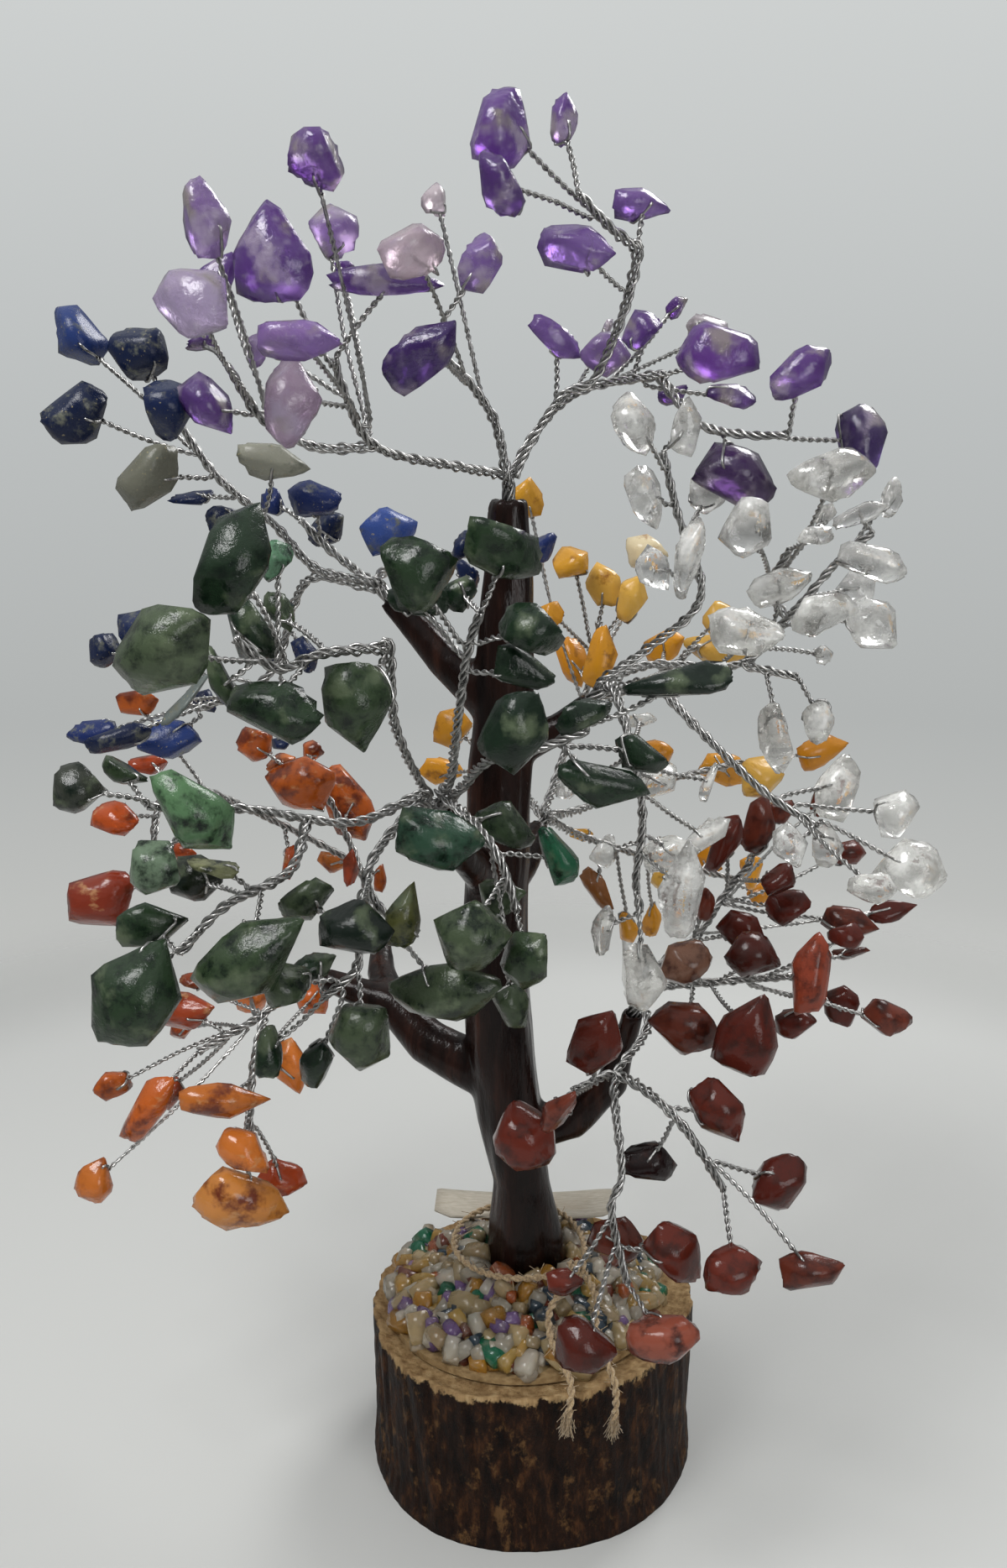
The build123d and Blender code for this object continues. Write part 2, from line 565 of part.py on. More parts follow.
class Stems:
    """The stems of many chips: where each leaves its limb, and its two ends as the chips slide."""

    def __init__(self, chips):
        spots = [chip.limb.at(chip.station) for chip in chips]
        self.starts, self.runs = (np.array(column) for column in zip(*spots))
        self.last = np.array([chip.station >= chip.limb.length() for chip in chips])

    def ends(self, centres):
        """Each stem's root, about clear of its limb's side or end, and its tip, at the middle of its chip."""
        ways = unit(centres - self.starts)
        onward = np.sum(ways * self.runs, axis=1)
        slants = np.maximum(np.sqrt(1 - onward ** 2), least_slant)
        from_side = (wire_gap + half_diagonal * (limb_width + stem_width * np.abs(onward))) / slants
        from_end = (wire_gap + half_diagonal * stem_width * slants) / np.maximum(onward, least_slant)
        reach = np.where(self.last & (onward > least_slant), np.minimum(from_side, from_end), from_side)
        return self.starts + ways * reach[:, None], centres


def push_apart(first, second, gap):
    """The slides that take each second box clear of its first, mostly along Y; none where they are clear."""
    middle_a, axes_a, half_a = first
    middle_b, axes_b, half_b = second
    crossed = np.cross(axes_a[:, :, None, :], axes_b[:, None, :, :]).reshape(len(middle_a), 9, 3)
    size = np.linalg.norm(crossed, axis=2, keepdims=True)
    crossed = np.where(size > no_length, crossed / np.maximum(size, no_length), axes_a[:, :1, :])
    axes = np.concatenate([axes_a, axes_b, crossed], axis=1)
    apart = np.einsum("pki,pi->pk", axes, middle_b - middle_a)
    reach_a = np.einsum("pkj,pj->pk", np.abs(np.matmul(axes, axes_a.transpose(0, 2, 1))), half_a)
    reach_b = np.einsum("pkj,pj->pk", np.abs(np.matmul(axes, axes_b.transpose(0, 2, 1))), half_b)
    overlap = reach_a + reach_b + gap[:, None] - np.abs(apart)
    ease = axes * slide_ease
    eased = np.einsum("pki,pki->pk", axes, ease)
    best = np.argmin(overlap / np.sqrt(eased), axis=1)
    rows = np.arange(len(best))
    side = np.where(apart[rows, best] < 0, -1.0, 1.0)
    step = side * (overlap[rows, best] + settle_slack) / eased[rows, best]
    touching = (overlap > 0).all(axis=1)
    return touching, np.where(touching[:, None], step[:, None] * ease[rows, best], 0.0)


def standing_rods(limbs):
    """What the chips have to keep clear of: every limb's runs, the trunk, the branches and the bundles."""
    rods = []
    for number, limb in enumerate(limbs):
        rods += [(start, end, limb_width, number) for start, end in limb.runs()]
    tubes = [[(spine(level), width) for level, width in zip(levels, trunk_widths)]]
    tubes += [list(zip(branch.points, branch.widths)) for branch in branches.values()]
    for branch in branches.values():
        tubes.append([(end, bundle_width) for end in (branch.mouth, branch.bundle_tip)])
    for tube in tubes:
        for (start, start_width), (end, end_width) in zip(tube, tube[1:]):
            rods.append((start, end, max(start_width, end_width), len(limbs)))
    return [np.array(column) for column in zip(*rods)]


def settle(placed):
    """Slides chips apart, mostly nearer or further, until no chip, stem, limb or branch touches another."""
    limbs = [limb for group in placed.values() for limb in group]
    chips = [chip for limb in limbs for chip in limb.chips]
    count = len(chips)
    centres = np.array([chip.centre for chip in chips])
    chip_axes = np.array([chip.axes for chip in chips])
    chip_halves = np.array([chip.half for chip in chips])
    stems = Stems(chips)
    stem_widths = np.full(count, stem_width)
    rod_starts, rod_ends, rod_widths, rod_limbs = standing_rods(limbs)
    rods = rod_boxes(rod_starts, rod_ends, rod_widths)
    owners = np.concatenate([np.arange(count), np.arange(count), np.full(len(rod_limbs), -1)])
    kinds = np.repeat([0, 1, 2], [count, count, len(rod_limbs)])
    leverage = np.array([1.0, stem_leverage, 1.0])[kinds][:, None]
    carriers = np.concatenate([[limbs.index(chip.limb) for chip in chips] * 2, rod_limbs])
    first, second = np.triu_indices(len(owners), 1)
    on_own_limb = (kinds[first] == 1) & (kinds[second] == 2) & (carriers[first] == carriers[second])
    allowed = (owners[first] != owners[second]) & ~on_own_limb
    first, second = first[allowed], second[allowed]
    gap = np.where((kinds[first] > 0) & (kinds[second] > 0), wire_gap, chip_gap)
    for sweep_number in range(settle_sweeps):
        boxes = zip((centres, chip_axes, chip_halves), rod_boxes(*stems.ends(centres), stem_widths), rods)
        middle, axes, half = (np.concatenate(column) for column in boxes)
        reach = np.einsum("pki,pk->pi", np.abs(axes), half)
        spare = np.abs(middle[first] - middle[second]) - reach[first] - reach[second] - gap[:, None]
        if sweep_number == 0:
            within = (spare < settle_range).all(axis=1)
            first, second, gap, spare = first[within], second[within], gap[within], spare[within]
        near = (spare < 0).all(axis=1)
        one, two = first[near], second[near]
        pair = [(middle[ends], axes[ends], half[ends]) for ends in (one, two)]
        touching, push = push_apart(*pair, gap[near])
        if not touching.any():
            break
        movable = owners[two] >= 0
        push = push * np.where(movable, 0.5, 1.0)[:, None] * settle_ease
        moves = np.zeros((count, 3))
        np.add.at(moves, owners[one], -push / leverage[one])
        np.add.at(moves, owners[two][movable], (push / leverage[two])[movable])
        centres = centres + np.clip(moves, -settle_stride, settle_stride)
    for chip, start, root, centre in zip(chips, stems.starts, stems.ends(centres)[0], centres):
        chip.centre = centre
        rods = [(*run, limb_corner_width) for run in chip.limb.swept()]
        rooted = [other for other in chip.limb.chips if other.root is not None]
        rods += [(other.root, other.centre, stem_width) for other in rooted]
        chip.root = clear_start(start, centre, stem_width, rods, root)
    print("chips settled after", sweep_number, "sweeps with", int(touching.sum()), "still touching")
    return placed


def ring_planes(points):
    """A plane square to the way through each point of a bent run."""
    ways = [unit(end - start) for start, end in zip(points, points[1:])]
    tangents = [ways[0]] + [unit(before + after) for before, after in zip(ways, ways[1:])] + [ways[-1]]
    return [Plane(origin=tuple(point), z_dir=tuple(way)) for point, way in zip(points, tangents)]


def log_outline(width):
    """Points round the log, whose radius swells and dips a little like a real trunk's."""
    angles = [2 * math.pi * step / outline_steps for step in range(outline_steps)]
    radii = [width / 2 * (1 + outline_swell * math.cos(outline_lobes * angle)
                           + outline_dip * math.sin(outline_ripples * angle))
             for angle in angles]
    return [(radius * math.cos(angle), radius * math.sin(angle)) for radius, angle in zip(radii, angles)]


def bend_radii(points):
    """The largest easy bend at each inner point of a cord's route."""
    radii = []
    for before, point, after in zip(points, points[1:], points[2:]):
        run_in, run_out = Vector(*point) - Vector(*before), Vector(*after) - Vector(*point)
        half_turn = math.radians(run_in.get_angle(run_out)) / 2
        radii.append(bend_share * min(run_in.length, run_out.length) / math.tan(half_turn))
    return radii


def save(builder, name):
    """Names the finished piece and writes it out."""
    builder.part.label = name
    export_step(builder.part, f"parts/{name}.step")


os.makedirs("parts", exist_ok=True)
chance = random.Random("gravel")
tilt = math.radians(base_top_tilt)
log_top = Plane(origin=(0, 0, base_height), x_dir=(math.cos(tilt), 0, math.sin(tilt)),
                z_dir=(-math.sin(tilt), 0, math.cos(tilt)))
foot_x = trunk_sways[0]

# Log slice, with its bark flared at the foot, a slanting saw cut on top and the socket for the wire core
with BuildPart() as log_base:
    for plane, width in ((Plane.XY, base_foot_width), (Plane.XY.offset(base_flare_height), base_waist_width),
                         (log_top, base_top_width)):
        with BuildSketch(plane):
            with BuildLine():
                Spline(*log_outline(width), periodic=True)
            make_face()
    loft(ruled=True)
    with BuildSketch(Plane.XY.offset(base_height - core_socket_depth - core_clearance)):
        with Locations((foot_x, 0)):
            Circle(core_width / 2 + core_clearance)
    extrude(amount=base_height, mode=Mode.SUBTRACT)
save(log_base, "log_base")

# Glue bed in terraces that step down from the trunk's foot to the rim
ring_step = gravel_width + gravel_gap
ring_inside = trunk_widths[0] / 2 + foot_gap
with BuildPart() as gravel_bed:
    for ring, height in enumerate(terrace_heights):
        with BuildSketch(log_top):
            with Locations((foot_x, 0)):
                Circle(ring_inside + (ring + 1) * ring_step)
                Circle(ring_inside, mode=Mode.SUBTRACT)
        extrude(amount=height)
save(gravel_bed, "gravel_bed")

# Gravel: small tapered stones that stand in rings on the terraces, in pale and bright colours
stone_spots = {"gravel_pale": [], "gravel_bright": []}
for ring, height in enumerate(terrace_heights):
    radius = ring_inside + (ring + 0.5) * ring_step
    stones_round = int(2 * math.pi * radius / ring_step)
    for stone in range(stones_round):
        angle = 2 * math.pi * (stone + ring / 2) / stones_round
        spot = (foot_x + radius * math.cos(angle), radius * math.sin(angle))
        stone_spots[chance.choice(sorted(stone_spots))].append((spot, height))
for name, spots in stone_spots.items():
    stones = []
    for (x, y), height in spots:
        turn = chance.uniform(0, 2 * math.pi)
        angles = [turn + 2 * math.pi * side / chip_sides for side in range(chip_sides)]
        corners = [(angle, gravel_width / 2 * chance.uniform(gravel_corner_least, 1.0)) for angle in angles]
        top = height + chance.uniform(gravel_height_least, gravel_height)
        with BuildPart() as stone:
            for level, share in ((height, 1.0), (top, gravel_taper)):
                with BuildSketch(log_top.offset(level)):
                    with Locations((x, y)):
                        Polygon(*[(share * reach * math.cos(angle), share * reach * math.sin(angle))
                                  for angle, reach in corners], align=None)
            loft(ruled=True)
        stones.append(stone.part)
    with BuildPart() as gravel:
        add(stones, clean=False)
    save(gravel, name)

# Trunk: a swaying taper with stub branches, a bore for the wire core and a socket in each branch's mouth
core_top = trunk_height - core_top_margin
core_heights = [0.0] + [level for level in levels[1:] if level < core_top]
with BuildPart() as trunk:
    with BuildSketch(log_top):
        with Locations((foot_x, 0)):
            Circle(trunk_widths[0] / 2)
    for level, width in list(zip(levels, trunk_widths))[1:]:
        with BuildSketch(Plane(origin=tuple(spine(level)))):
            Circle(width / 2)
    loft(ruled=True)
    for name, branch in branches.items():
        if name != "amethyst":
            for plane, width in zip(ring_planes(branch.points), branch.widths):
                with BuildSketch(plane):
                    Circle(width / 2)
            loft(ruled=True)
    for height in [-core_mouth_margin] + core_heights + [core_top + core_clearance]:
        with BuildSketch(Plane(origin=tuple(spine(height)))):
            Circle(core_width / 2 + core_clearance)
    loft(ruled=True, mode=Mode.SUBTRACT)
    for branch in branches.values():
        with BuildSketch(Plane(origin=tuple(branch.mouth), z_dir=tuple(branch.facing))):
            Circle(bundle_width / 2 + bundle_clearance)
        extrude(amount=-bundle_depth - bundle_clearance, mode=Mode.SUBTRACT)
save(trunk, "trunk")

# Wire core that stands in the log and stiffens the trunk
with BuildPart() as trunk_core:
    for height in [-core_socket_depth] + core_heights + [core_top]:
        with BuildSketch(Plane(origin=tuple(spine(height)))):
            Circle(core_width / 2)
    loft(ruled=True)
save(trunk_core, "trunk_core")

# Wire bundles: the limbs' wires, laid side by side in a six-sided packet, seated in the branch mouths
for name in branches:
    if name != "rear":
        with BuildPart() as bundle:
            for branch in [branches[name]] + [branches["rear"]] * (name == "carnelian"):
                with BuildSketch(Plane(origin=tuple(branch.bundle_foot), z_dir=tuple(branch.facing))):
                    RegularPolygon(bundle_width / 2, bundle_sides)
                extrude(amount=bundle_depth + bundle_reach)
        save(bundle, f"{name}_bundle")

# Sprays: twisted limbs and stems in one node, the drilled chips in another
placed = settle(place_sprays())
for spray, limbs in placed.items():
    chips = [chip for limb in limbs for chip in limb.chips]
    wires = []
    stones = []
    for limb in limbs:
        with BuildPart() as twisted_limb:
            with BuildLine() as route:
                Polyline(*[tuple(point) for point in limb.points])
            start, bend = limb.points[:2]
            with BuildSketch(Plane(origin=tuple(start), z_dir=tuple(bend - start))):
                Rectangle(limb_width, limb_width)
            sweep(path=route.wires()[0], transition=Transition.RIGHT)
        wires.append(twisted_limb.part)
    for chip in chips:
        reach = np.linalg.norm(chip.centre - chip.root)
        with BuildPart() as stem:
            with BuildSketch(Plane(origin=tuple(chip.root), z_dir=tuple(chip.centre - chip.root))):
                Rectangle(stem_width, stem_width)
            extrude(amount=reach - hole_clearance)
        wires.append(stem.part)
        with BuildPart() as stone:
            front, back = chip.cap_shares
            for height_share, share in ((-1.0, front), (chip.girdle, 1.0), (1.0, back)):
                plane, corners = chip.section(height_share, share)
                with BuildSketch(plane):
                    Polygon(*corners, align=None)
            loft(ruled=True)
            with BuildSketch(Plane(origin=tuple(chip.centre), z_dir=tuple(chip.root - chip.centre))):
                Rectangle(stem_width + 2 * hole_clearance, stem_width + 2 * hole_clearance)
            extrude(amount=reach, mode=Mode.SUBTRACT)
        stones.append(stone.part)
    for suffix, pieces in (("wires", wires), ("stones", stones)):
        with BuildPart() as group:
            add(pieces, clean=False)
        save(group, f"{spray}_{suffix}")

# Hang tag: a blank card that lies on the gravel behind the trunk
fall = math.radians(tag_fall)
heap_top = base_height + terrace_heights[0] + gravel_height
tag_place = (tag_x, trunk_widths[0] / 2 + tag_trunk_gap, heap_top + tag_seat_gap)
tag_plane = Plane(origin=tag_place, x_dir=(1, 0, 0), z_dir=(0, math.sin(fall), math.cos(fall)))
with BuildPart() as hang_tag:
    with BuildSketch(tag_plane) as outline:
        Rectangle(tag_width, tag_depth, align=(Align.CENTER, Align.MIN))
        chamfer(outline.vertices().group_by(Axis.Y)[0], tag_corner)
        with Locations((tag_hole_x, tag_hole_inset)):
            Circle(tag_hole / 2, mode=Mode.SUBTRACT)
    extrude(amount=tag_thickness)
save(hang_tag, "hang_tag")

# Jute twine: a loop round the trunk's foot, the knot that closes it and its two cut tails
for name, points in twine_routes.items():
    radii = bend_radii(points)
    print(name, "bend radii", [round(radius, 1) for radius in radii])
    with BuildPart() as twine:
        with BuildLine() as route:
            FilletPolyline(*points, radius=radii)
        with BuildSketch(Plane(origin=points[0], z_dir=Vector(*points[1]) - Vector(*points[0]))):
            RegularPolygon(twine_width / 2, twine_sides)
        sweep(path=route.wires()[0])
    save(twine, name)
with BuildPart() as twine_knot:
    for level, share in knot_shape:
        with BuildSketch(Plane(origin=knot_place, z_dir=knot_axis).offset(level * knot_length / 2)):
            RegularPolygon(share * knot_width / 2, knot_sides)
    loft(ruled=True)
save(twine_knot, "twine_knot")
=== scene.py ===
import json
import math

import bpy
import numpy as np
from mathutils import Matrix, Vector

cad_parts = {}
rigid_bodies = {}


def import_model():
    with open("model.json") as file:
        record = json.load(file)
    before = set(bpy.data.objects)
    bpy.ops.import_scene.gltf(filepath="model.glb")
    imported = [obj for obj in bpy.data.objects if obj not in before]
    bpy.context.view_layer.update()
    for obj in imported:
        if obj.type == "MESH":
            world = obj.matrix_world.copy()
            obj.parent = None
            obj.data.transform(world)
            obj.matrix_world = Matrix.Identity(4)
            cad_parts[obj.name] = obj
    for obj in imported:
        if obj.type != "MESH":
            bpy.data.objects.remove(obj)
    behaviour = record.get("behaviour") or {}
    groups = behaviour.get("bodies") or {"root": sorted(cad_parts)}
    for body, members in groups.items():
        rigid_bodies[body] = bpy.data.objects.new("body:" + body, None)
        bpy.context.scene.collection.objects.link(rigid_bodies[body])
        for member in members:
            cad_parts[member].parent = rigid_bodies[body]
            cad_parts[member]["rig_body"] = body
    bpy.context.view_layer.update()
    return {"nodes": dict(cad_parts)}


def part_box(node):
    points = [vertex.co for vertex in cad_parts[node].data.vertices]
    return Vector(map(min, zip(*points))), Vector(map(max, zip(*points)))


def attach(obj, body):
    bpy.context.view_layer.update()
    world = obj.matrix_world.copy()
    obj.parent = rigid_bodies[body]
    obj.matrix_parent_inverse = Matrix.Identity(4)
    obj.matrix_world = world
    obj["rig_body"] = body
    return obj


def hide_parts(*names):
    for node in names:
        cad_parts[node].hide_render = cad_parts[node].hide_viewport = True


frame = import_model()


# Log slice: a cut from a young branch with its bark on, under a dark varnish. The top is sawn at a slight
# slant and leaves a tan rim of bare wood round the gravel. It stands flat on its lower saw cut.
class Tone:
    """A value or colour in a material's node tree. Sums and products of tones add Math nodes."""

    def __init__(self, tree, socket=None):
        self.tree = tree
        self.socket = socket

    def node(self, kind, settings, sockets, output=0):
        """Adds a node of one kind, sets its settings, then fills its sockets with values or links."""
        made = self.tree.nodes.new(kind)
        for name, value in settings.items():
            if name == "stops":
                made.color_ramp.elements[0].position = value[0][0]
                made.color_ramp.elements[1].position = value[-1][0]
                for position, _ in value[1:-1]:
                    made.color_ramp.elements.new(position)
                for element, (_, colour) in zip(made.color_ramp.elements, value):
                    element.color = (*colour, 1)
            else:
                setattr(made, name, value)
        for name, value in sockets.items():
            if isinstance(value, Tone):
                self.tree.links.new(value.socket, made.inputs[name])
            else:
                made.inputs[name].default_value = value
        return Tone(self.tree, made.outputs[output]) if made.outputs else None

    def worked(self, operation, first, second):
        """One Math node on two values."""
        return self.node("ShaderNodeMath", {"operation": operation}, {0: first, 1: second})

    def __add__(self, other):
        return self.worked("ADD", self, other)

    def __mul__(self, other):
        return self.worked("MULTIPLY", self, other)

    def __sub__(self, other):
        return self.worked("SUBTRACT", self, other)

    def __rsub__(self, other):
        return self.worked("SUBTRACT", other, self)

    __radd__ = __add__
    __rmul__ = __mul__

    def cloud(self, size, stretch=(1, 1, 1), detail=3, rough=0.5):
        """Soft noise whose lumps are about one size across, in metres, longer where it is stretched."""
        place = self.node("ShaderNodeTexCoord", {}, {}, "Object")
        scale = tuple(1 / (size * way) for way in stretch)
        place = self.node("ShaderNodeMapping", {}, {"Vector": place, "Scale": scale})
        sockets = {"Vector": place, "Scale": 1.0, "Detail": detail, "Roughness": rough}
        return self.node("ShaderNodeTexNoise", {}, sockets)

    def ramp(self, *stops):
        """Colours along this value, from stops of a position and a colour."""
        return self.node("ShaderNodeValToRGB", {"stops": stops}, {"Fac": self})

    def between(self, low, high):
        """This value's step from 0 at low to 1 at high."""
        sockets = {"Value": self, "From Min": low, "From Max": high}
        return self.node("ShaderNodeMapRange", {"interpolation_type": "SMOOTHSTEP"}, sockets)

    def painted(self, first, second):
        """From the first colour where this value is 0 to the second where it is 1."""
        return self.node("ShaderNodeMix", {"data_type": "RGBA"}, {0: self, 6: first, 7: second}, 2)

    def bumped(self, depth):
        """A normal that stands this value out by a depth in metres."""
        return self.node("ShaderNodeBump", {}, {"Height": self, "Strength": 1.0, "Distance": depth})

    def attribute(self, name, output="Color"):
        """A colour or value that the mesh carries."""
        return self.node("ShaderNodeAttribute", {"attribute_name": name}, {}, output)


def finish(name, paint):
    """A material whose surface sockets are what the paint function gives."""
    material = bpy.data.materials.new(name)
    material.use_nodes = True
    material.node_tree.nodes.clear()
    tone = Tone(material.node_tree)
    shader = paint(tone)
    if isinstance(shader, dict):
        shader = tone.node("ShaderNodeBsdfPrincipled", {}, shader)
    tone.node("ShaderNodeOutputMaterial", {}, {"Surface": shader})
    return material


def closed_forms(name, grids, material, tints=None):
    """One mesh of many closed forms. A grid holds its forms' rings of points, as form, ring, spot and axis.
    Rings are joined by quads, and each form's first and last rings by fans to the ring's middle."""
    points, faces, count = [], [], 0
    for grid in grids:
        forms, rings, spots = grid.shape[:3]
        near, far = grid[:, :1].mean(axis=2), grid[:, -1:].mean(axis=2)
        points.append(np.concatenate([near, grid.reshape(forms, -1, 3), far], axis=1).reshape(-1, 3))
        size = rings * spots + 2
        here = 1 + np.arange(rings * spots).reshape(rings, spots)
        right = np.roll(here, -1, axis=1)
        quads = np.stack([here[:-1], right[:-1], right[1:], here[1:]], axis=-1).reshape(-1, 4)
        start = np.stack([np.zeros(spots, int), right[0], here[0]], axis=-1)
        end = np.stack([np.full(spots, size - 1), here[-1], right[-1]], axis=-1)
        shift = (count + size * np.arange(forms))[:, None, None]
        for kind in (quads, start, end):
            faces += (kind[None] + shift).reshape(-1, kind.shape[1]).tolist()
        count += forms * size
    mesh = bpy.data.meshes.new(name)
    mesh.from_pydata(np.concatenate(points).tolist(), [], faces)
    mesh.shade_smooth()
    if tints is not None:
        repeats = [grid.shape[1] * grid.shape[2] + 2 for grid in grids for _ in range(grid.shape[0])]
        colours = np.repeat(np.c_[np.asarray(tints, float), np.ones(len(tints))], repeats, axis=0)
        mesh.attributes.new("tint", "FLOAT_COLOR", "POINT").data.foreach_set("color", colours.ravel())
    mesh.materials.append(material)
    piece = bpy.data.objects.new(name, mesh)
    bpy.context.scene.collection.objects.link(piece)
    return piece


def set_in_place(piece, slot, *nodes):
    """The piece stands for frame nodes and moves with their body. The slot is not used."""
    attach(piece, frame["nodes"][nodes[0]]["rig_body"])
    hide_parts(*nodes)


def bark_paint(tone):
    """Dark varnished bark with tan scars and upright grain, and tan sawn wood where the mesh is marked as sawn."""
    grain = tone.cloud(0.0026, (1, 1, 2.6), detail=7, rough=0.68)
    scars = tone.cloud(0.0042, (1, 1, 1.4), detail=7, rough=0.74)
    bark = grain.ramp((0.38, (0.004, 0.0018, 0.0012)), (0.54, (0.018, 0.007, 0.0034)),
                      (0.70, (0.075, 0.030, 0.011)))
    bark = (scars.between(0.53, 0.68) * 0.8).painted(bark, (0.15, 0.075, 0.028, 1))
    rings = tone.cloud(0.0016, (1, 1, 9), detail=4)
    wood = rings.ramp((0.30, (0.20, 0.115, 0.048)), (0.60, (0.42, 0.28, 0.135)), (0.80, (0.54, 0.40, 0.22)))
    sawn = (tone.attribute("sawn", "Fac") + scars * 1.2 - 0.6).between(0.42, 0.54)
    return {
        "Base Color": sawn.painted(bark, wood),
        "Roughness": sawn * 0.2 + grain * 0.35 + 0.34,
        "Normal": (grain + scars * 0.6).bumped(0.0012),
        "Specular IOR Level": 0.12,
    }


def log_rings(top):
    """The log as rings: a saw-cut foot, bark that flares at the foot and is furrowed by waves round and up it,
    and a saw-cut top on a slant, inside the bark's edge."""
    tilt, lobes, ripples, furrow_depth = math.radians(2.5), 0.012, 0.008, 0.0009
    foot, waist, waist_height, rim, bark = 0.036, 0.035, 0.006, 0.03525, 0.0016
    height = top - rim * math.tan(tilt)
    turn = np.linspace(0, 2 * math.pi, 288, endpoint=False)[None]
    rise = np.linspace(0, 1, 48)[:, None]
    outline = 1 + lobes * np.cos(3 * turn) + ripples * np.sin(5 * turn)
    radius = np.interp(rise * height, [0, waist_height, height], [foot, waist, rim]) * outline
    waves = [(17, 2.1, 0.9), (29, 3.7, 2.3), (43, 5.3, 0.4), (71, 8.9, 4.0), (97, 13.0, 1.1)]
    furrows = sum(np.sin(count * turn + lean * rise + shift + np.sin(3 * rise + count)) / (4 + order)
                  for order, (count, lean, shift) in enumerate(waves))
    radius = radius + furrow_depth * furrows * np.clip(rise * 12, 0.2, 1)
    lift = rise * np.ones_like(turn)
    crown = np.array([0.5, 1.0, 1.6, 3.5])[:, None] * bark
    radius = np.vstack([radius, radius[-1:] - crown])
    lift = np.vstack([lift, np.repeat(lift[-1:], len(crown), axis=0)])
    x, y = radius * np.cos(turn), radius * np.sin(turn)
    drop = np.zeros((len(lift), 1))
    drop[-len(crown):, 0] = [0.0, 0.0004, 0.0006, 0.0006]
    return np.stack([x, y, lift * (height + x * math.tan(tilt)) - drop], axis=-1)


log_grid = log_rings(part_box("log_base")[1][2])
log = closed_forms("log_slice", [log_grid[None]], finish("varnished_bark", bark_paint))
rim_rows = [0.1, 0.2, 0.3, 0.4, 0.5, 0.6, 0.75, 1, 1, 1]
sawn_rows = np.r_[np.zeros(len(log_grid) - len(rim_rows)), rim_rows]
sawn_points = np.r_[0, np.repeat(sawn_rows, log_grid.shape[1]), 1]
log.data.attributes.new("sawn", "FLOAT", "POINT").data.foreach_set("value", sawn_points)
set_in_place(log, "bark_wood", "log_base")


# Gravel: tumbled chips of every colour, set in clear glue and heaped towards the trunk. The frame's stones
# stand in rings on a bed of glue, and smaller chips lie loose between them up to the log's rim.
def loose_solids(node):
    """A frame node's mesh merged at its corners and split into separate solids, each as corners and triangles."""
    mesh = frame["nodes"][node].data
    mesh.calc_loop_triangles()
    spots = np.empty(len(mesh.vertices) * 3)
    mesh.vertices.foreach_get("co", spots)
    triangles = np.empty(len(mesh.loop_triangles) * 3, int)
    mesh.loop_triangles.foreach_get("vertices", triangles)
    corners, merged = np.unique(np.round(spots.reshape(-1, 3), 6), axis=0, return_inverse=True)
    triangles = merged.reshape(-1)[triangles].reshape(-1, 3)
    label = np.arange(len(corners))
    lowest = label[triangles].min(axis=1)
    while (label[triangles] != lowest[:, None]).any():
        np.minimum.at(label, triangles.ravel(), np.repeat(lowest, 3))
        lowest = label[triangles].min(axis=1)
    solids = []
    for number in np.unique(label[triangles[:, 0]]):
        kept, local = np.unique(triangles[label[triangles[:, 0]] == number], return_inverse=True)
        solids.append((corners[kept], local.reshape(-1, 3)))
    return solids


def faces_of(corners, triangles):
    """The flat faces of a solid's outside: their normals and their distances along them. A face counts where
    no corner stands in front of it, so the walls of a drilled hole are passed over. Triangles that agree to two
    decimals, with distances in millimetres, are one face."""
    slack, millimetres = 2e-6, 1000
    first, second, third = corners[triangles].transpose(1, 0, 2)
    normals = np.cross(second - first, third - first)
    area = np.linalg.norm(normals, axis=1)
    normals = normals[area > 0] / area[area > 0, None]
    offsets = np.sum(normals * first[area > 0], axis=1)
    outside = (corners @ normals.T).max(axis=0) < offsets + slack
    planes = np.unique(np.round(np.c_[normals, offsets * millimetres][outside], 2), axis=0)
    return planes[:, :3], planes[:, 3] / millimetres


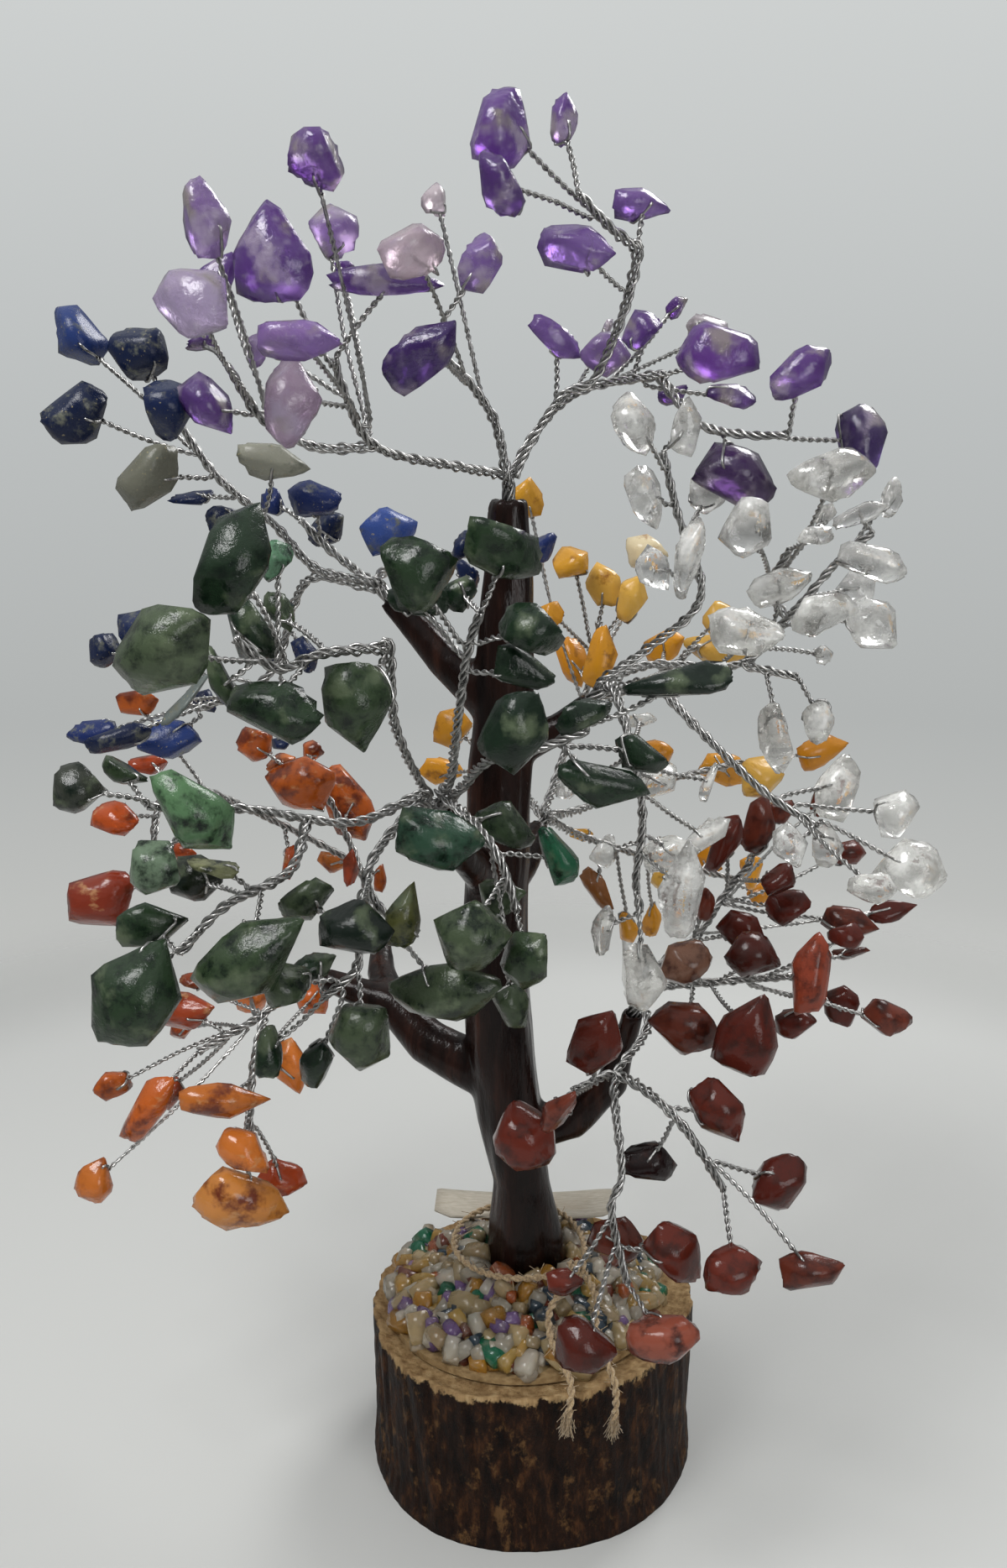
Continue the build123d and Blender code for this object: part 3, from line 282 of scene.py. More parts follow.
class Stone:
    """A tumbled stone inside flat faces, with its axes from the longest to the shortest. Each way, its reach is
    the power mean of the distances to the faces, so edges come out round. A few chance cuts across it leave broken
    facets. It may be drawn broader or fuller than the faces."""

    def __init__(self, corners, normals, offsets, chance, roundness=50.0, cuts=3, fullness=1.13, broader=1.0):
        self.roundness, self.fullness = roundness, fullness
        self.axes = np.linalg.svd(corners - corners.mean(axis=0), full_matrices=False)[2]
        self.axes[2] = np.cross(self.axes[0], self.axes[1])
        spread = corners @ self.axes.T
        self.half = np.ptp(spread, axis=0) / 2
        self.centre = (spread.min(axis=0) + self.half) @ self.axes
        ways = chance.normal(size=(cuts, 3))
        ways /= np.linalg.norm(ways, axis=1, keepdims=True)
        depths = ((corners - self.centre) @ ways.T).max(axis=0) * chance.uniform(0.80, 0.95, cuts)
        normals, depths = np.vstack([normals, ways]), np.r_[offsets - normals @ self.centre, depths]
        normals = normals @ self.axes.T / np.array([broader, broader, 1.0]) @ self.axes
        steepness = np.linalg.norm(normals, axis=1)
        self.normals, self.reaches = normals / steepness[:, None], depths / steepness

    def reach(self, ways):
        """How far the stone stands from its middle, each way."""
        nearness = np.maximum(ways @ self.normals.T, 0) / self.reaches
        return self.fullness * (nearness ** self.roundness).sum(axis=-1) ** (-1 / self.roundness)

    def rings(self, rings, spots):
        """Points on the stone, in rings from one tip of its longest axis to the other, spread as on an ellipsoid
        of its size."""
        polar = math.pi * (np.arange(rings) + 0.5)[:, None] / rings
        turn = 2 * math.pi * np.arange(spots)[None] / spots
        ways = np.stack([-np.cos(polar) * np.ones_like(turn), np.sin(polar) * np.cos(turn),
                         np.sin(polar) * np.sin(turn)], axis=-1) @ (self.axes * self.half[:, None])
        ways /= np.linalg.norm(ways, axis=-1, keepdims=True)
        return self.centre + ways * self.reach(ways)[..., None]


def stones_in(node, chance, **shape):
    """A tumbled stone for each solid of a frame node."""
    return [Stone(corners, *faces_of(corners, triangles), chance, **shape)
            for corners, triangles in loose_solids(node)]


def loose_chips(count, chance):
    """Small chips on the heap's slope, on a spiral that spreads them evenly, each a box of chance size and turn.
    Those under the tag lie lower."""
    inner, outer, crest, rim, middle = 0.0105, 0.0292, 0.0462, 0.0380, -0.001
    tag_reach, tag_front, tag_room = 0.022, 0.0115, 0.003
    usual_half = np.array([0.0021, 0.0016, 0.0012])
    share = (np.arange(count) + 0.5) / count
    radius = np.sqrt(inner ** 2 + share * (outer ** 2 - inner ** 2))
    turn = math.pi * (3 - math.sqrt(5)) * np.arange(count)
    height = np.interp(radius, [inner, outer], [crest, rim]) + chance.uniform(-0.0012, 0.0022, count)
    spots = np.stack([radius * np.cos(turn) + middle, radius * np.sin(turn), height], axis=1)
    under_tag = (np.abs(spots[:, 0]) < tag_reach) & (spots[:, 1] > tag_front)
    spots[:, 2] -= tag_room * under_tag
    signs = np.array(np.meshgrid([-1, 1], [-1, 1], [-1, 1])).reshape(3, -1).T
    chips = []
    for spot in spots:
        axes = np.linalg.qr(chance.normal(size=(3, 3)))[0]
        half = usual_half * chance.uniform(0.7, 1.4)
        normals = np.vstack([axes, -axes])
        offsets = normals @ spot + np.tile(half, 2)
        chips.append(Stone(spot + signs * half @ axes, normals, offsets, chance, roundness=30.0, cuts=9))
    return chips


def gravel_paint(tone):
    """Polished chips in their own colours, a little cloudy, wet-looking under the glue."""
    cloud = tone.cloud(0.0025, detail=4)
    return {
        "Base Color": (cloud.between(0.45, 0.8) * 0.35).painted(tone.attribute("tint"), (0.62, 0.54, 0.40, 1)),
        "Roughness": cloud * 0.2 + 0.1,
        "Normal": cloud.bumped(0.0003),
        "Specular IOR Level": 0.3,
        "Coat Weight": 0.2,
        "Coat Roughness": 0.06,
        "Transmission Weight": 0.6,
        "IOR": 1.45,
    }


gravel_colours = {
    "gravel_pale": [(0.60, 0.54, 0.42), (0.66, 0.61, 0.50), (0.54, 0.41, 0.22), (0.54, 0.33, 0.08),
                    (0.60, 0.45, 0.22)],
    "gravel_bright": [(0.58, 0.28, 0.035), (0.46, 0.11, 0.025), (0.006, 0.18, 0.085), (0.25, 0.14, 0.36),
                      (0.03, 0.06, 0.09), (0.56, 0.36, 0.09), (0.22, 0.05, 0.025), (0.58, 0.48, 0.34),
                      (0.60, 0.54, 0.44)],
}
gravel_finish = finish("glued_gravel", gravel_paint)
for node, colours in gravel_colours.items():
    chance = np.random.default_rng(len(colours))
    gravel = stones_in(node, chance, cuts=10, fullness=0.92) + loose_chips(count=280, chance=chance)
    tints = np.array(colours)[chance.integers(len(colours), size=len(gravel))]
    tints = np.clip(tints * chance.uniform(0.8, 1.2, (len(gravel), 1)), 0, 1)
    grid = np.array([stone.rings(rings=6, spots=8) for stone in gravel])
    piece = closed_forms(node + "_chips", [grid], gravel_finish, tints)
    set_in_place(piece, "pale_gravel" if node == "gravel_pale" else "bright_gravel", node)


def glue_paint(tone):
    """Set clear glue, painted a deep brown between the stones as the shade in the gaps between them, with the tan
    wood showing through where it thins at the rim.
    """
    cloud = tone.cloud(0.002, detail=3)
    place = tone.node("ShaderNodeTexCoord", {}, {}, "Object")
    flat = tone.node("ShaderNodeMapping", {}, {"Vector": place, "Scale": (1.0, 1.0, 0.0)})
    away = tone.node("ShaderNodeVectorMath", {"operation": "LENGTH"}, {0: flat}, "Value")
    # Painted shade: the deep brown the clear glue gets between the stones stands for the shade in the gaps between
    # the chips.
    dark = cloud.ramp((0.3, (0.022, 0.012, 0.006)), (0.7, (0.10, 0.065, 0.034)))
    wood = cloud.ramp((0.3, (0.20, 0.125, 0.055)), (0.7, (0.40, 0.28, 0.14)))
    return {
        "Base Color": (away + cloud * 0.004).between(0.0275, 0.0305).painted(dark, wood),
        "Roughness": cloud * 0.2 + 0.3,
        "Normal": cloud.bumped(0.0006),
        "Specular IOR Level": 0.25,
    }


glue = frame["nodes"]["gravel_bed"].data
glue.materials.clear()
glue.materials.append(finish("clear_glue", glue_paint))


# Trunk: modelled by hand round a wire core and lacquered a glossy dark brown. Its forks are smoothed into
# each other, and the tool marks run up the trunk as shallow ridges. The core inside is plain wire.
def trunk_paint(tone):
    """Nearly black brown lacquer with warmer streaks up the trunk."""
    streaks = tone.cloud(0.004, (1, 1, 6), detail=5, rough=0.6)
    blots = tone.cloud(0.015, detail=3)
    brown = streaks.ramp((0.34, (0.004, 0.002, 0.0017)), (0.56, (0.014, 0.006, 0.0045)),
                         (0.78, (0.045, 0.017, 0.011)))
    return {
        "Base Color": brown,
        "Roughness": blots * 0.22 + 0.08,
        "Normal": streaks.bumped(0.0005),
        "Specular IOR Level": 0.18,
    }


def smoothed_copy(node, name, voxel, passes):
    """A frame node's solid as one even skin: filled with voxels, then its joins eased by smoothing passes."""
    rough = bpy.data.objects.new(name + "_rough", frame["nodes"][node].data.copy())
    bpy.context.scene.collection.objects.link(rough)
    weld = rough.modifiers.new("weld", "WELD")
    weld.merge_threshold = 1e-6
    remesh = rough.modifiers.new("remesh", "REMESH")
    remesh.mode, remesh.voxel_size = "VOXEL", voxel
    ease = rough.modifiers.new("ease", "SMOOTH")
    ease.factor, ease.iterations = 0.5, passes
    mesh = bpy.data.meshes.new_from_object(rough.evaluated_get(bpy.context.evaluated_depsgraph_get()))
    bpy.data.objects.remove(rough)
    mesh.name = name
    mesh.materials.clear()
    mesh.shade_smooth()
    return mesh


trunk_middle, ridge_height = -0.005, 0.00018
skin = smoothed_copy("trunk", "lacquered_trunk", voxel=0.0008, passes=8)
spots = np.empty(len(skin.vertices) * 3)
skin.vertices.foreach_get("co", spots)
outwards = np.empty(len(skin.vertices) * 3)
skin.vertices.foreach_get("normal", outwards)
spots, outwards = spots.reshape(-1, 3), outwards.reshape(-1, 3)
across = np.arctan2(spots[:, 1], spots[:, 0] - trunk_middle)
ridges = np.sin(5 * across + 60 * spots[:, 2]) + 0.6 * np.sin(9 * across - 95 * spots[:, 2] + 2)
ridges += 0.7 * np.sin(170 * spots[:, 2] + 2 * across) + 0.5 * np.sin(330 * spots[:, 2] + 500 * spots[:, 0])
skin.vertices.foreach_set("co", (spots + ridge_height * ridges[:, None] * outwards).ravel())
skin.materials.append(finish("dark_lacquer", trunk_paint))
trunk = bpy.data.objects.new("lacquered_trunk", skin)
bpy.context.scene.collection.objects.link(trunk)
set_in_place(trunk, "trunk_lacquer", "trunk")


# Wire: bright silver craft wire. Two ends twist into each chip's stem, stems are gathered and twisted into
# limbs, and all the limbs of a branch lie together in the bundle that is set in its mouth.
def wire_paint(tone):
    """Drawn silver-plated wire, with dull patches."""
    dull = tone.cloud(0.0012, detail=3)
    return {
        "Base Color": dull.ramp((0.3, (0.21, 0.207, 0.20)), (0.7, (0.52, 0.512, 0.50))),
        "Metallic": 1.0,
        "Roughness": dull * 0.2 + 0.2,
    }


def eased(points, count):
    """A smooth line through points, sampled evenly: a Catmull-Rom curve, whose slope at each point is that of
    the line between the points before and after it."""
    ends = np.vstack([2 * points[0] - points[1], points, 2 * points[-1] - points[-2]])
    before, near, far, after = ends[:-3], ends[1:-2], ends[2:-1], ends[3:]
    share = np.linspace(0, 1, 12, endpoint=False)[:, None, None]
    curve = near + share / 2 * (far - before + share * (
        2 * before - 5 * near + 4 * far - after + share * (3 * near - before - 3 * far + after)))
    curve = np.vstack([curve.transpose(1, 0, 2).reshape(-1, 3), points[-1:]])
    along = np.r_[0, np.cumsum(np.linalg.norm(np.diff(curve, axis=0), axis=1))]
    stops = np.linspace(0, along[-1], count)
    return np.stack([np.interp(stops, along, curve[:, axis]) for axis in range(3)], axis=1)


def strands(lines, lay, thickness, pitch, number, sides=4, flare=0.0, loose=0.0):
    """Round strands wound on lines: a strand's middle turns once round its line in each pitch, at the lay's
    radius, and a ring of the strand's thickness is carried along it. A flare widens the lay towards the start, and
    a loose strand's lay swells and shrinks in a slow wave of its own."""
    wave_pitches, wave_shift = 2.6, 2.4
    runs = np.gradient(lines, axis=1)
    runs /= np.linalg.norm(runs, axis=2, keepdims=True)
    side = np.cross(runs[:, 0], np.where(np.abs(runs[:, 0, 2:]) < 0.8, [[0.0, 0.0, 1.0]], [[1.0, 0.0, 0.0]]))
    sides_along = []
    for way in runs.transpose(1, 0, 2):
        side = side - way * np.sum(side * way, axis=1, keepdims=True)
        side = side / np.linalg.norm(side, axis=1, keepdims=True)
        sides_along.append(side)
    side = np.stack(sides_along, axis=1)
    over = np.cross(runs, side)
    steps = np.linalg.norm(np.diff(lines, axis=1), axis=2)
    along = np.concatenate([np.zeros((len(lines), 1)), np.cumsum(steps, axis=1)], axis=1)
    starts = np.arange(number) / number
    turn = 2 * math.pi * (along[None] / pitch + starts[:, None, None])[..., None]
    lay = lay * (1 + flare * np.linspace(1, 0, lines.shape[1])[:, None] ** 2)
    lay = lay * (1 + loose * np.sin(turn / wave_pitches + wave_shift * np.arange(number)[:, None, None, None]))
    middle = lines + lay * (np.cos(turn) * side + np.sin(turn) * over)
    round_it = 2 * math.pi * np.arange(sides) / sides
    ring = np.cos(round_it)[:, None] * side[:, :, None] + np.sin(round_it)[:, None] * over[:, :, None]
    rings = middle[:, :, :, None] + thickness / 2 * ring[None]
    return rings.reshape(-1, *rings.shape[2:])


wire_finish = finish("silver_wire", wire_paint)
core = frame["nodes"]["trunk_core"].data
core.materials.clear()
core.materials.append(wire_finish)
bundle_ends = {}
for name in ("amethyst", "lapis", "green", "quartz", "yellow", "red", "carnelian"):
    lines = []
    for corners, _ in loose_solids(name + "_bundle"):
        middle = corners.mean(axis=0)
        way = np.linalg.svd(corners - middle)[2][0]
        along = (corners - middle) @ way
        ends = np.array([corners[along < 0].mean(axis=0), corners[along > 0].mean(axis=0)])
        outer_first = np.linalg.norm(ends[0, :2]) > np.linalg.norm(ends[1, :2])
        upside_down = way[2] < -0.95
        if outer_first or upside_down:
            ends = ends[::-1]
        lines.append(np.linspace(ends[0], ends[1], 24))
    bundle_ends[name] = [line[[0, -1]] for line in lines]
    wound = [strands(np.array(lines), lay=0.00105, thickness=0.0006, pitch=0.016, number=7),
             strands(np.array(lines), lay=0.0, thickness=0.0012, pitch=0.01, number=1)]
    piece = closed_forms(name + "_bundle_wires", wound, wire_finish)
    set_in_place(piece, "silver_wire", name + "_bundle")


# Gem chips: tumbled chips in seven stones, each drilled near one edge. Clear and violet quartz let light
# through, carnelian glows a little, and the rest are opaque. A wire loop runs through the hole and round the rim.
def amethyst_paint(tone):
    """Violet quartz, deep in some zones and pale, milky or smoky in others."""
    zones = tone.cloud(0.006, detail=3)
    milk = tone.cloud(0.0028, detail=5, rough=0.6)
    smoke = tone.cloud(0.009, detail=2).between(0.45, 0.62).painted((0.56, 0.47, 0.62, 1), (0.40, 0.35, 0.33, 1))
    colour = zones.between(0.50, 0.68).painted(tone.attribute("tint"), smoke)
    return {
        "Base Color": (milk.between(0.56, 0.75) * 0.4).painted(colour, (0.70, 0.64, 0.68, 1)),
        "Roughness": milk * 0.22 + 0.04,
        "Normal": milk.bumped(0.0004),
        "Transmission Weight": 0.62,
        "IOR": 1.54,
        "Specular IOR Level": 0.35,
        "Coat Weight": 0.1,
        "Coat Roughness": 0.04,
    }


def lapis_paint(tone):
    """Deep blue stone with grey chalk clouds and dull gold specks."""
    chalk = tone.cloud(0.0035, detail=5, rough=0.65)
    specks = tone.cloud(0.0007, detail=2)
    colour = chalk.between(0.52, 0.72).painted(tone.attribute("tint"), (0.13, 0.135, 0.105, 1))
    return {
        "Base Color": (specks.between(0.66, 0.74) * 0.6).painted(colour, (0.36, 0.30, 0.16, 1)),
        "Roughness": chalk * 0.3 + 0.12,
        "Normal": chalk.bumped(0.0003),
        "Specular IOR Level": 0.25,
        "Coat Weight": 0.05,
        "Coat Roughness": 0.08,
    }


def green_paint(tone):
    """Moss-green stone with black inclusions and paler veins."""
    moss = tone.cloud(0.0032, detail=5, rough=0.62)
    veins = tone.cloud(0.005, (1, 2.5, 1), detail=4)
    colour = moss.between(0.30, 0.58).painted((0.004, 0.010, 0.006, 1), tone.attribute("tint"))
    return {
        "Base Color": (veins.between(0.54, 0.72) * 0.6).painted(colour, (0.15, 0.19, 0.11, 1)),
        "Roughness": moss * 0.2 + 0.05,
        "Normal": moss.bumped(0.0004),
        "Transmission Weight": 0.15,
        "Specular IOR Level": 0.25,
        "Coat Weight": 0.06,
        "Coat Roughness": 0.04,
    }


def quartz_paint(tone):
    """Clear quartz with white veils and cracks inside it."""
    veils = tone.cloud(0.0065, detail=4, rough=0.6)
    clear = tone.node("ShaderNodeBsdfPrincipled", {}, {
        "Base Color": tone.attribute("tint"), "Roughness": veils * 0.06, "Normal": veils.bumped(0.0006),
        "Transmission Weight": 1.0, "IOR": 1.5})
    milky = tone.node("ShaderNodeBsdfPrincipled", {}, {
        "Base Color": veils.ramp((0.3, (0.80, 0.79, 0.74)), (0.75, (0.95, 0.95, 0.92))), "Roughness": 0.16,
        "Normal": veils.bumped(0.0006), "Transmission Weight": 0.3})
    return tone.node("ShaderNodeMixShader", {}, {0: veils.between(0.40, 0.66) * 0.66 + 0.14, 1: clear, 2: milky})


def yellow_paint(tone):
    """Opaque honey-yellow stone with brown seams."""
    seams = tone.cloud(0.004, (1, 1.8, 1), detail=5, rough=0.6)
    return {
        "Base Color": seams.between(0.56, 0.76).painted(tone.attribute("tint"), (0.26, 0.10, 0.012, 1)),
        "Roughness": seams * 0.25 + 0.10,
        "Normal": seams.bumped(0.0003),
        "Specular IOR Level": 0.3,
        "Coat Weight": 0.1,
        "Coat Roughness": 0.06,
    }


def red_paint(tone):
    """Opaque brick-red stone with darker brown clouds."""
    clouds = tone.cloud(0.0045, detail=5, rough=0.6)
    return {
        "Base Color": clouds.between(0.44, 0.68).painted(tone.attribute("tint"), (0.040, 0.012, 0.009, 1)),
        "Roughness": clouds * 0.2 + 0.06,
        "Normal": clouds.bumped(0.0003),
        "Specular IOR Level": 0.22,
        "Coat Weight": 0.05,
        "Coat Roughness": 0.04,
    }


def carnelian_paint(tone):
    """Orange to red-brown agate, banded, clear at the thin edges."""
    bands = tone.cloud(0.0042, (1, 1, 0.55), detail=4, rough=0.55)
    rust = tone.cloud(0.0065, detail=4, rough=0.6)
    colour = rust.between(0.46, 0.66).painted(tone.attribute("tint"), (0.15, 0.028, 0.010, 1))
    return {
        "Base Color": (bands.between(0.58, 0.74) * 0.7).painted(colour, (0.66, 0.36, 0.16, 1)),
        "Roughness": bands * 0.18 + 0.07,
        "Normal": bands.bumped(0.0003),
        "Transmission Weight": 0.3,
        "Specular IOR Level": 0.3,
        "Coat Weight": 0.06,
        "Coat Roughness": 0.05,
    }


stone_paints = {
    "amethyst": (amethyst_paint, [
        (0.17, 0.065, 0.34), (0.25, 0.13, 0.44), (0.34, 0.20, 0.52), (0.13, 0.05, 0.27)]),
    "lapis": (lapis_paint, [
        (0.010, 0.022, 0.105), (0.008, 0.016, 0.058), (0.016, 0.033, 0.125), (0.006, 0.012, 0.042)]),
    "green": (green_paint, [
        (0.022, 0.042, 0.020), (0.036, 0.058, 0.028), (0.014, 0.029, 0.015), (0.056, 0.078, 0.042)]),
    "quartz": (quartz_paint, [
        (0.98, 0.97, 0.94), (0.96, 0.95, 0.92), (0.99, 0.99, 0.97)]),
    "yellow": (yellow_paint, [
        (0.62, 0.27, 0.018), (0.68, 0.33, 0.030), (0.56, 0.22, 0.012), (0.66, 0.38, 0.07)]),
    "red": (red_paint, [
        (0.098, 0.017, 0.010), (0.062, 0.011, 0.007), (0.125, 0.028, 0.016), (0.080, 0.014, 0.009)]),
    "carnelian": (carnelian_paint, [
        (0.56, 0.12, 0.016), (0.46, 0.075, 0.012), (0.66, 0.19, 0.030), (0.36, 0.055, 0.016)]),
}

# Stones that differ from their neighbours: where each is, in metres, and its colour.
odd_stones = {
    "amethyst": [((-0.018, -0.006, 0.264), (0.80, 0.70, 0.74)), ((-0.055, -0.043, 0.243), (0.52, 0.42, 0.62)),
                 ((-0.019, -0.041, 0.236), (0.06, 0.02, 0.16)), ((-0.041, -0.034, 0.229), (0.46, 0.34, 0.46)),
                 ((-0.021, -0.036, 0.252), (0.62, 0.50, 0.56)), ((0.036, 0.027, 0.243), (0.62, 0.56, 0.60)),
                 ((0.061, -0.005, 0.222), (0.06, 0.03, 0.14)), ((0.038, -0.005, 0.215), (0.07, 0.03, 0.12)),
                 ((0.034, -0.008, 0.236), (0.16, 0.05, 0.32)), ((0.015, 0.020, 0.243), (0.66, 0.58, 0.64))],
    "lapis": [((-0.073, -0.005, 0.215), (0.13, 0.13, 0.10)), ((-0.050, -0.004, 0.219), (0.25, 0.25, 0.20)),
              ((-0.029, 0.006, 0.205), (0.035, 0.07, 0.25)), ((-0.070, -0.001, 0.171), (0.12, 0.14, 0.13))],
    "green": [((-0.041, -0.056, 0.205), (0.13, 0.27, 0.16)), ((-0.005, -0.074, 0.182), (0.008, 0.020, 0.010)),
              ((0.021, -0.066, 0.187), (0.008, 0.016, 0.010)), ((-0.018, -0.048, 0.157), (0.030, 0.075, 0.045)),
              ((0.003, -0.046, 0.153), (0.012, 0.085, 0.040)), ((-0.023, -0.052, 0.145), (0.085, 0.090, 0.030)),
              ((-0.030, -0.058, 0.145), (0.008, 0.014, 0.010)), ((-0.065, -0.050, 0.153), (0.14, 0.20, 0.13)),
              ((-0.058, -0.052, 0.163), (0.10, 0.20, 0.095)), ((-0.056, -0.044, 0.151), (0.24, 0.25, 0.13)),
              ((-0.062, -0.034, 0.145), (0.008, 0.012, 0.006)), ((-0.079, -0.046, 0.165), (0.035, 0.040, 0.030))],
    "yellow": [((0.029, 0.062, 0.194), (0.66, 0.56, 0.36)), ((0.016, 0.038, 0.119), (0.20, 0.07, 0.015))],
    "red": [((0.054, -0.018, 0.120), (0.24, 0.045, 0.022)), ((0.030, -0.017, 0.122), (0.17, 0.085, 0.055)),
            ((0.022, -0.034, 0.088), (0.012, 0.006, 0.006)), ((0.023, -0.054, 0.064), (0.24, 0.065, 0.040))],
    "carnelian": [((-0.061, 0.057, 0.144), (0.80, 0.22, 0.035)), ((-0.067, 0.041, 0.091), (0.76, 0.20, 0.03)),
                  ((-0.061, -0.018, 0.070), (0.66, 0.26, 0.055)), ((-0.092, 0.006, 0.127), (0.26, 0.035, 0.014))],
    "quartz": [],
}

# How much fuller than its solid a chip is drawn, by its kind, and the chips that have less room.
stone_growth = {"amethyst": 1.09, "lapis": 1.14, "green": 1.22, "quartz": 1.15, "yellow": 1.20, "red": 1.08,
                "carnelian": 1.06}
close_stones = {"amethyst_left": {5: 1.0}, "lapis_upper": {5: 1.09}, "quartz_lower": {9: 1.06},
                "quartz_right": {5: 1.0}}


def stone_tints(name, stones, chance):
    """A colour for each stone, by chance from its kind's palette or from the list of odd ones."""
    nearby = 0.004
    palette = np.array(stone_paints[name][1])
    tints = palette[chance.integers(len(palette), size=len(stones))] * chance.uniform(0.85, 1.15, (len(stones), 1))
    for place, colour in odd_stones[name]:
        away = [np.linalg.norm(stone.centre - place) for stone in stones]
        if min(away) < nearby:
            tints[int(np.argmin(away))] = colour
    return np.clip(tints, 0, 1)


def rod_line(corners, triangles):
    """The points along the middle of a square rod. From one end's square, each next ring of corners is the one
    that the ring before it touches."""
    side_slack, diagonal_slack = 1.03, 0.04
    edges = np.linalg.norm(corners[triangles] - corners[np.roll(triangles, 1, axis=1)], axis=2)
    side, other_side, diagonal = np.sort(edges, axis=1).T
    square = (other_side < side_slack * side) & (np.abs(diagonal / side - math.sqrt(2)) < diagonal_slack)
    ends = triangles[square]
    ring = np.unique(ends[np.isin(ends, ends[0]).sum(axis=1) >= 2])
    seen = np.zeros(len(corners), bool)
    line = []
    while len(ring):
        line.append(corners[ring].mean(axis=0))
        seen[ring] = True
        touched = triangles[np.isin(triangles, ring).any(axis=1)]
        ring = np.setdiff1d(touched, np.flatnonzero(seen))
    return np.array(line)


def nearest_spot(spots, place):
    """The nearest of many spots to a place, and how far off it is."""
    away = np.linalg.norm(spots - place, axis=1)
    return spots[int(np.argmin(away))], float(away.min())


def joined_limbs(lines, ends):
    """Limb lines that start inside the bundle, or on the limb they are tied to, whichever is nearer."""
    root_depth = 0.0012
    limbs = []
    for number, line in enumerate(lines):
        others = [np.vstack([np.linspace(a, b, 20) for a, b in zip(other, other[1:])])
                  for index, other in enumerate(lines) if index != number]
        carriers = np.vstack([end[1] for end in ends] + others)
        (near, near_gap), (far, far_gap) = nearest_spot(carriers, line[0]), nearest_spot(carriers, line[-1])
        line, spot = (line, near) if near_gap <= far_gap else (line[::-1], far)
        inside = [spot + root_depth * (end[0] - spot) / np.linalg.norm(end[0] - spot)
                  for end in ends if np.allclose(end[1], spot)]
        limbs.append(eased(np.vstack(inside + [spot, line]), 72))
    return np.array(limbs)


def stem_and_loop(stone, line, limbs, chance):
    """A stem from the nearest limb to the stone's rim, with a slight bow, and the loop that goes from the rim over
    each face and into the drilled hole."""
    rim_gap, bow_share, face_gap, hole_depth = 0.0002, 0.025, 0.00012, 0.0006
    if np.linalg.norm(line[0] - stone.centre) < np.linalg.norm(line[-1] - stone.centre):
        line = line[::-1]
    spot, _ = nearest_spot(limbs.reshape(-1, 3), line[0])
    inwards = (line[0] - stone.centre) / np.linalg.norm(line[0] - stone.centre)
    rim = stone.centre + inwards * (stone.reach(inwards) + rim_gap)
    bow = np.cross(inwards, chance.normal(size=3))
    bow *= bow_share * np.linalg.norm(rim - line[0]) / np.linalg.norm(bow)
    stem = eased(np.vstack([spot, line[0], (line[0] + rim) / 2 + bow, rim]), 34)
    flat = stone.normals[np.argsort(stone.reaches)[0]]
    flat = flat - inwards * np.dot(flat, inwards)
    flat /= np.linalg.norm(flat)
    hole = chance.uniform(0.75, 1.05)
    lean = np.linspace(-1, 1, 15)[:, None] * hole
    ways = np.cos(lean) * inwards + np.sin(lean) * flat
    rise = np.where(np.abs(lean) > hole * 0.93, -hole_depth, face_gap)
    return stem, stone.centre + ways * (stone.reach(ways)[:, None] + rise)


sprays = [node[:-len("_stones")] for node in frame["nodes"] if node.endswith("_stones")]
stone_finishes = {name: finish(name + "_chip", paint) for name, (paint, _) in stone_paints.items()}
stem_reach = 0.0025
for number, spray in enumerate(sorted(sprays)):
    chance = np.random.default_rng(100 + number)
    kind = spray.split("_")[0]
    stones = stones_in(spray + "_stones", chance, broader=1.12)
    for place, stone in enumerate(stones):
        stone.fullness *= close_stones.get(spray, {}).get(place, stone_growth[kind])
    chips = np.array([stone.rings(rings=10, spots=16) for stone in stones])
    piece = closed_forms(spray + "_chips", [chips], stone_finishes[kind], stone_tints(kind, stones, chance))
    set_in_place(piece, kind + "_stone", spray + "_stones")
    lines = [rod_line(*solid) for solid in loose_solids(spray + "_wires")]
    middles = np.array([stone.centre for stone in stones])
    gaps = [min(nearest_spot(middles, line[0])[1], nearest_spot(middles, line[-1])[1]) for line in lines]
    is_stem = [len(line) == 2 and gap < stem_reach for line, gap in zip(lines, gaps)]
    limbs = joined_limbs([line for line, stem in zip(lines, is_stem) if not stem], bundle_ends[kind])
    stems, loops = [], []
    for line in (line for line, stem in zip(lines, is_stem) if stem):
        away = [min(np.linalg.norm(stone.centre - end) for end in line) for stone in stones]
        stem, loop = stem_and_loop(stones[int(np.argmin(away))], line, limbs, chance)
        stems.append(stem)
        loops.append(loop)
    wound = [strands(limbs, lay=0.00052, thickness=0.00062, pitch=0.0074, number=4, sides=6, flare=0.5, loose=0.3),
             strands(np.array(stems), lay=0.0003, thickness=0.00054, pitch=0.003, number=2, sides=5),
             strands(np.array(loops), lay=0.0, thickness=0.00054, pitch=1.0, number=1, sides=5)]
    piece = closed_forms(spray + "_twists", wound, wire_finish)
    set_in_place(piece, "silver_wire", spray + "_wires")


# Hang tag: a blank pale card with two clipped corners and a punched hole for the twine. It lies on the gravel
# behind the trunk, sags down the heap and has curled a little.
def card_paint(tone):
    """Matt card with faint fibres and a few warm stains, its tone kept darker than the pale card, with the shade it
    lies in painted into it.
    """
    fibres = tone.cloud(0.0008, (3, 1, 1), detail=5, rough=0.6)
    stain = tone.cloud(0.012, detail=3)
    # Painted shade: the card's tone is partly its own pale colour and partly the shade that falls on it where it
    # lies.
    card = fibres.ramp((0.3, (0.36, 0.32, 0.25)), (0.7, (0.50, 0.46, 0.38)))
    return {
        "Base Color": (stain.between(0.5, 0.8) * 0.5).painted(card, (0.42, 0.34, 0.24, 1)),
        "Roughness": 0.85,
        "Normal": fibres.bumped(0.0001),
    }


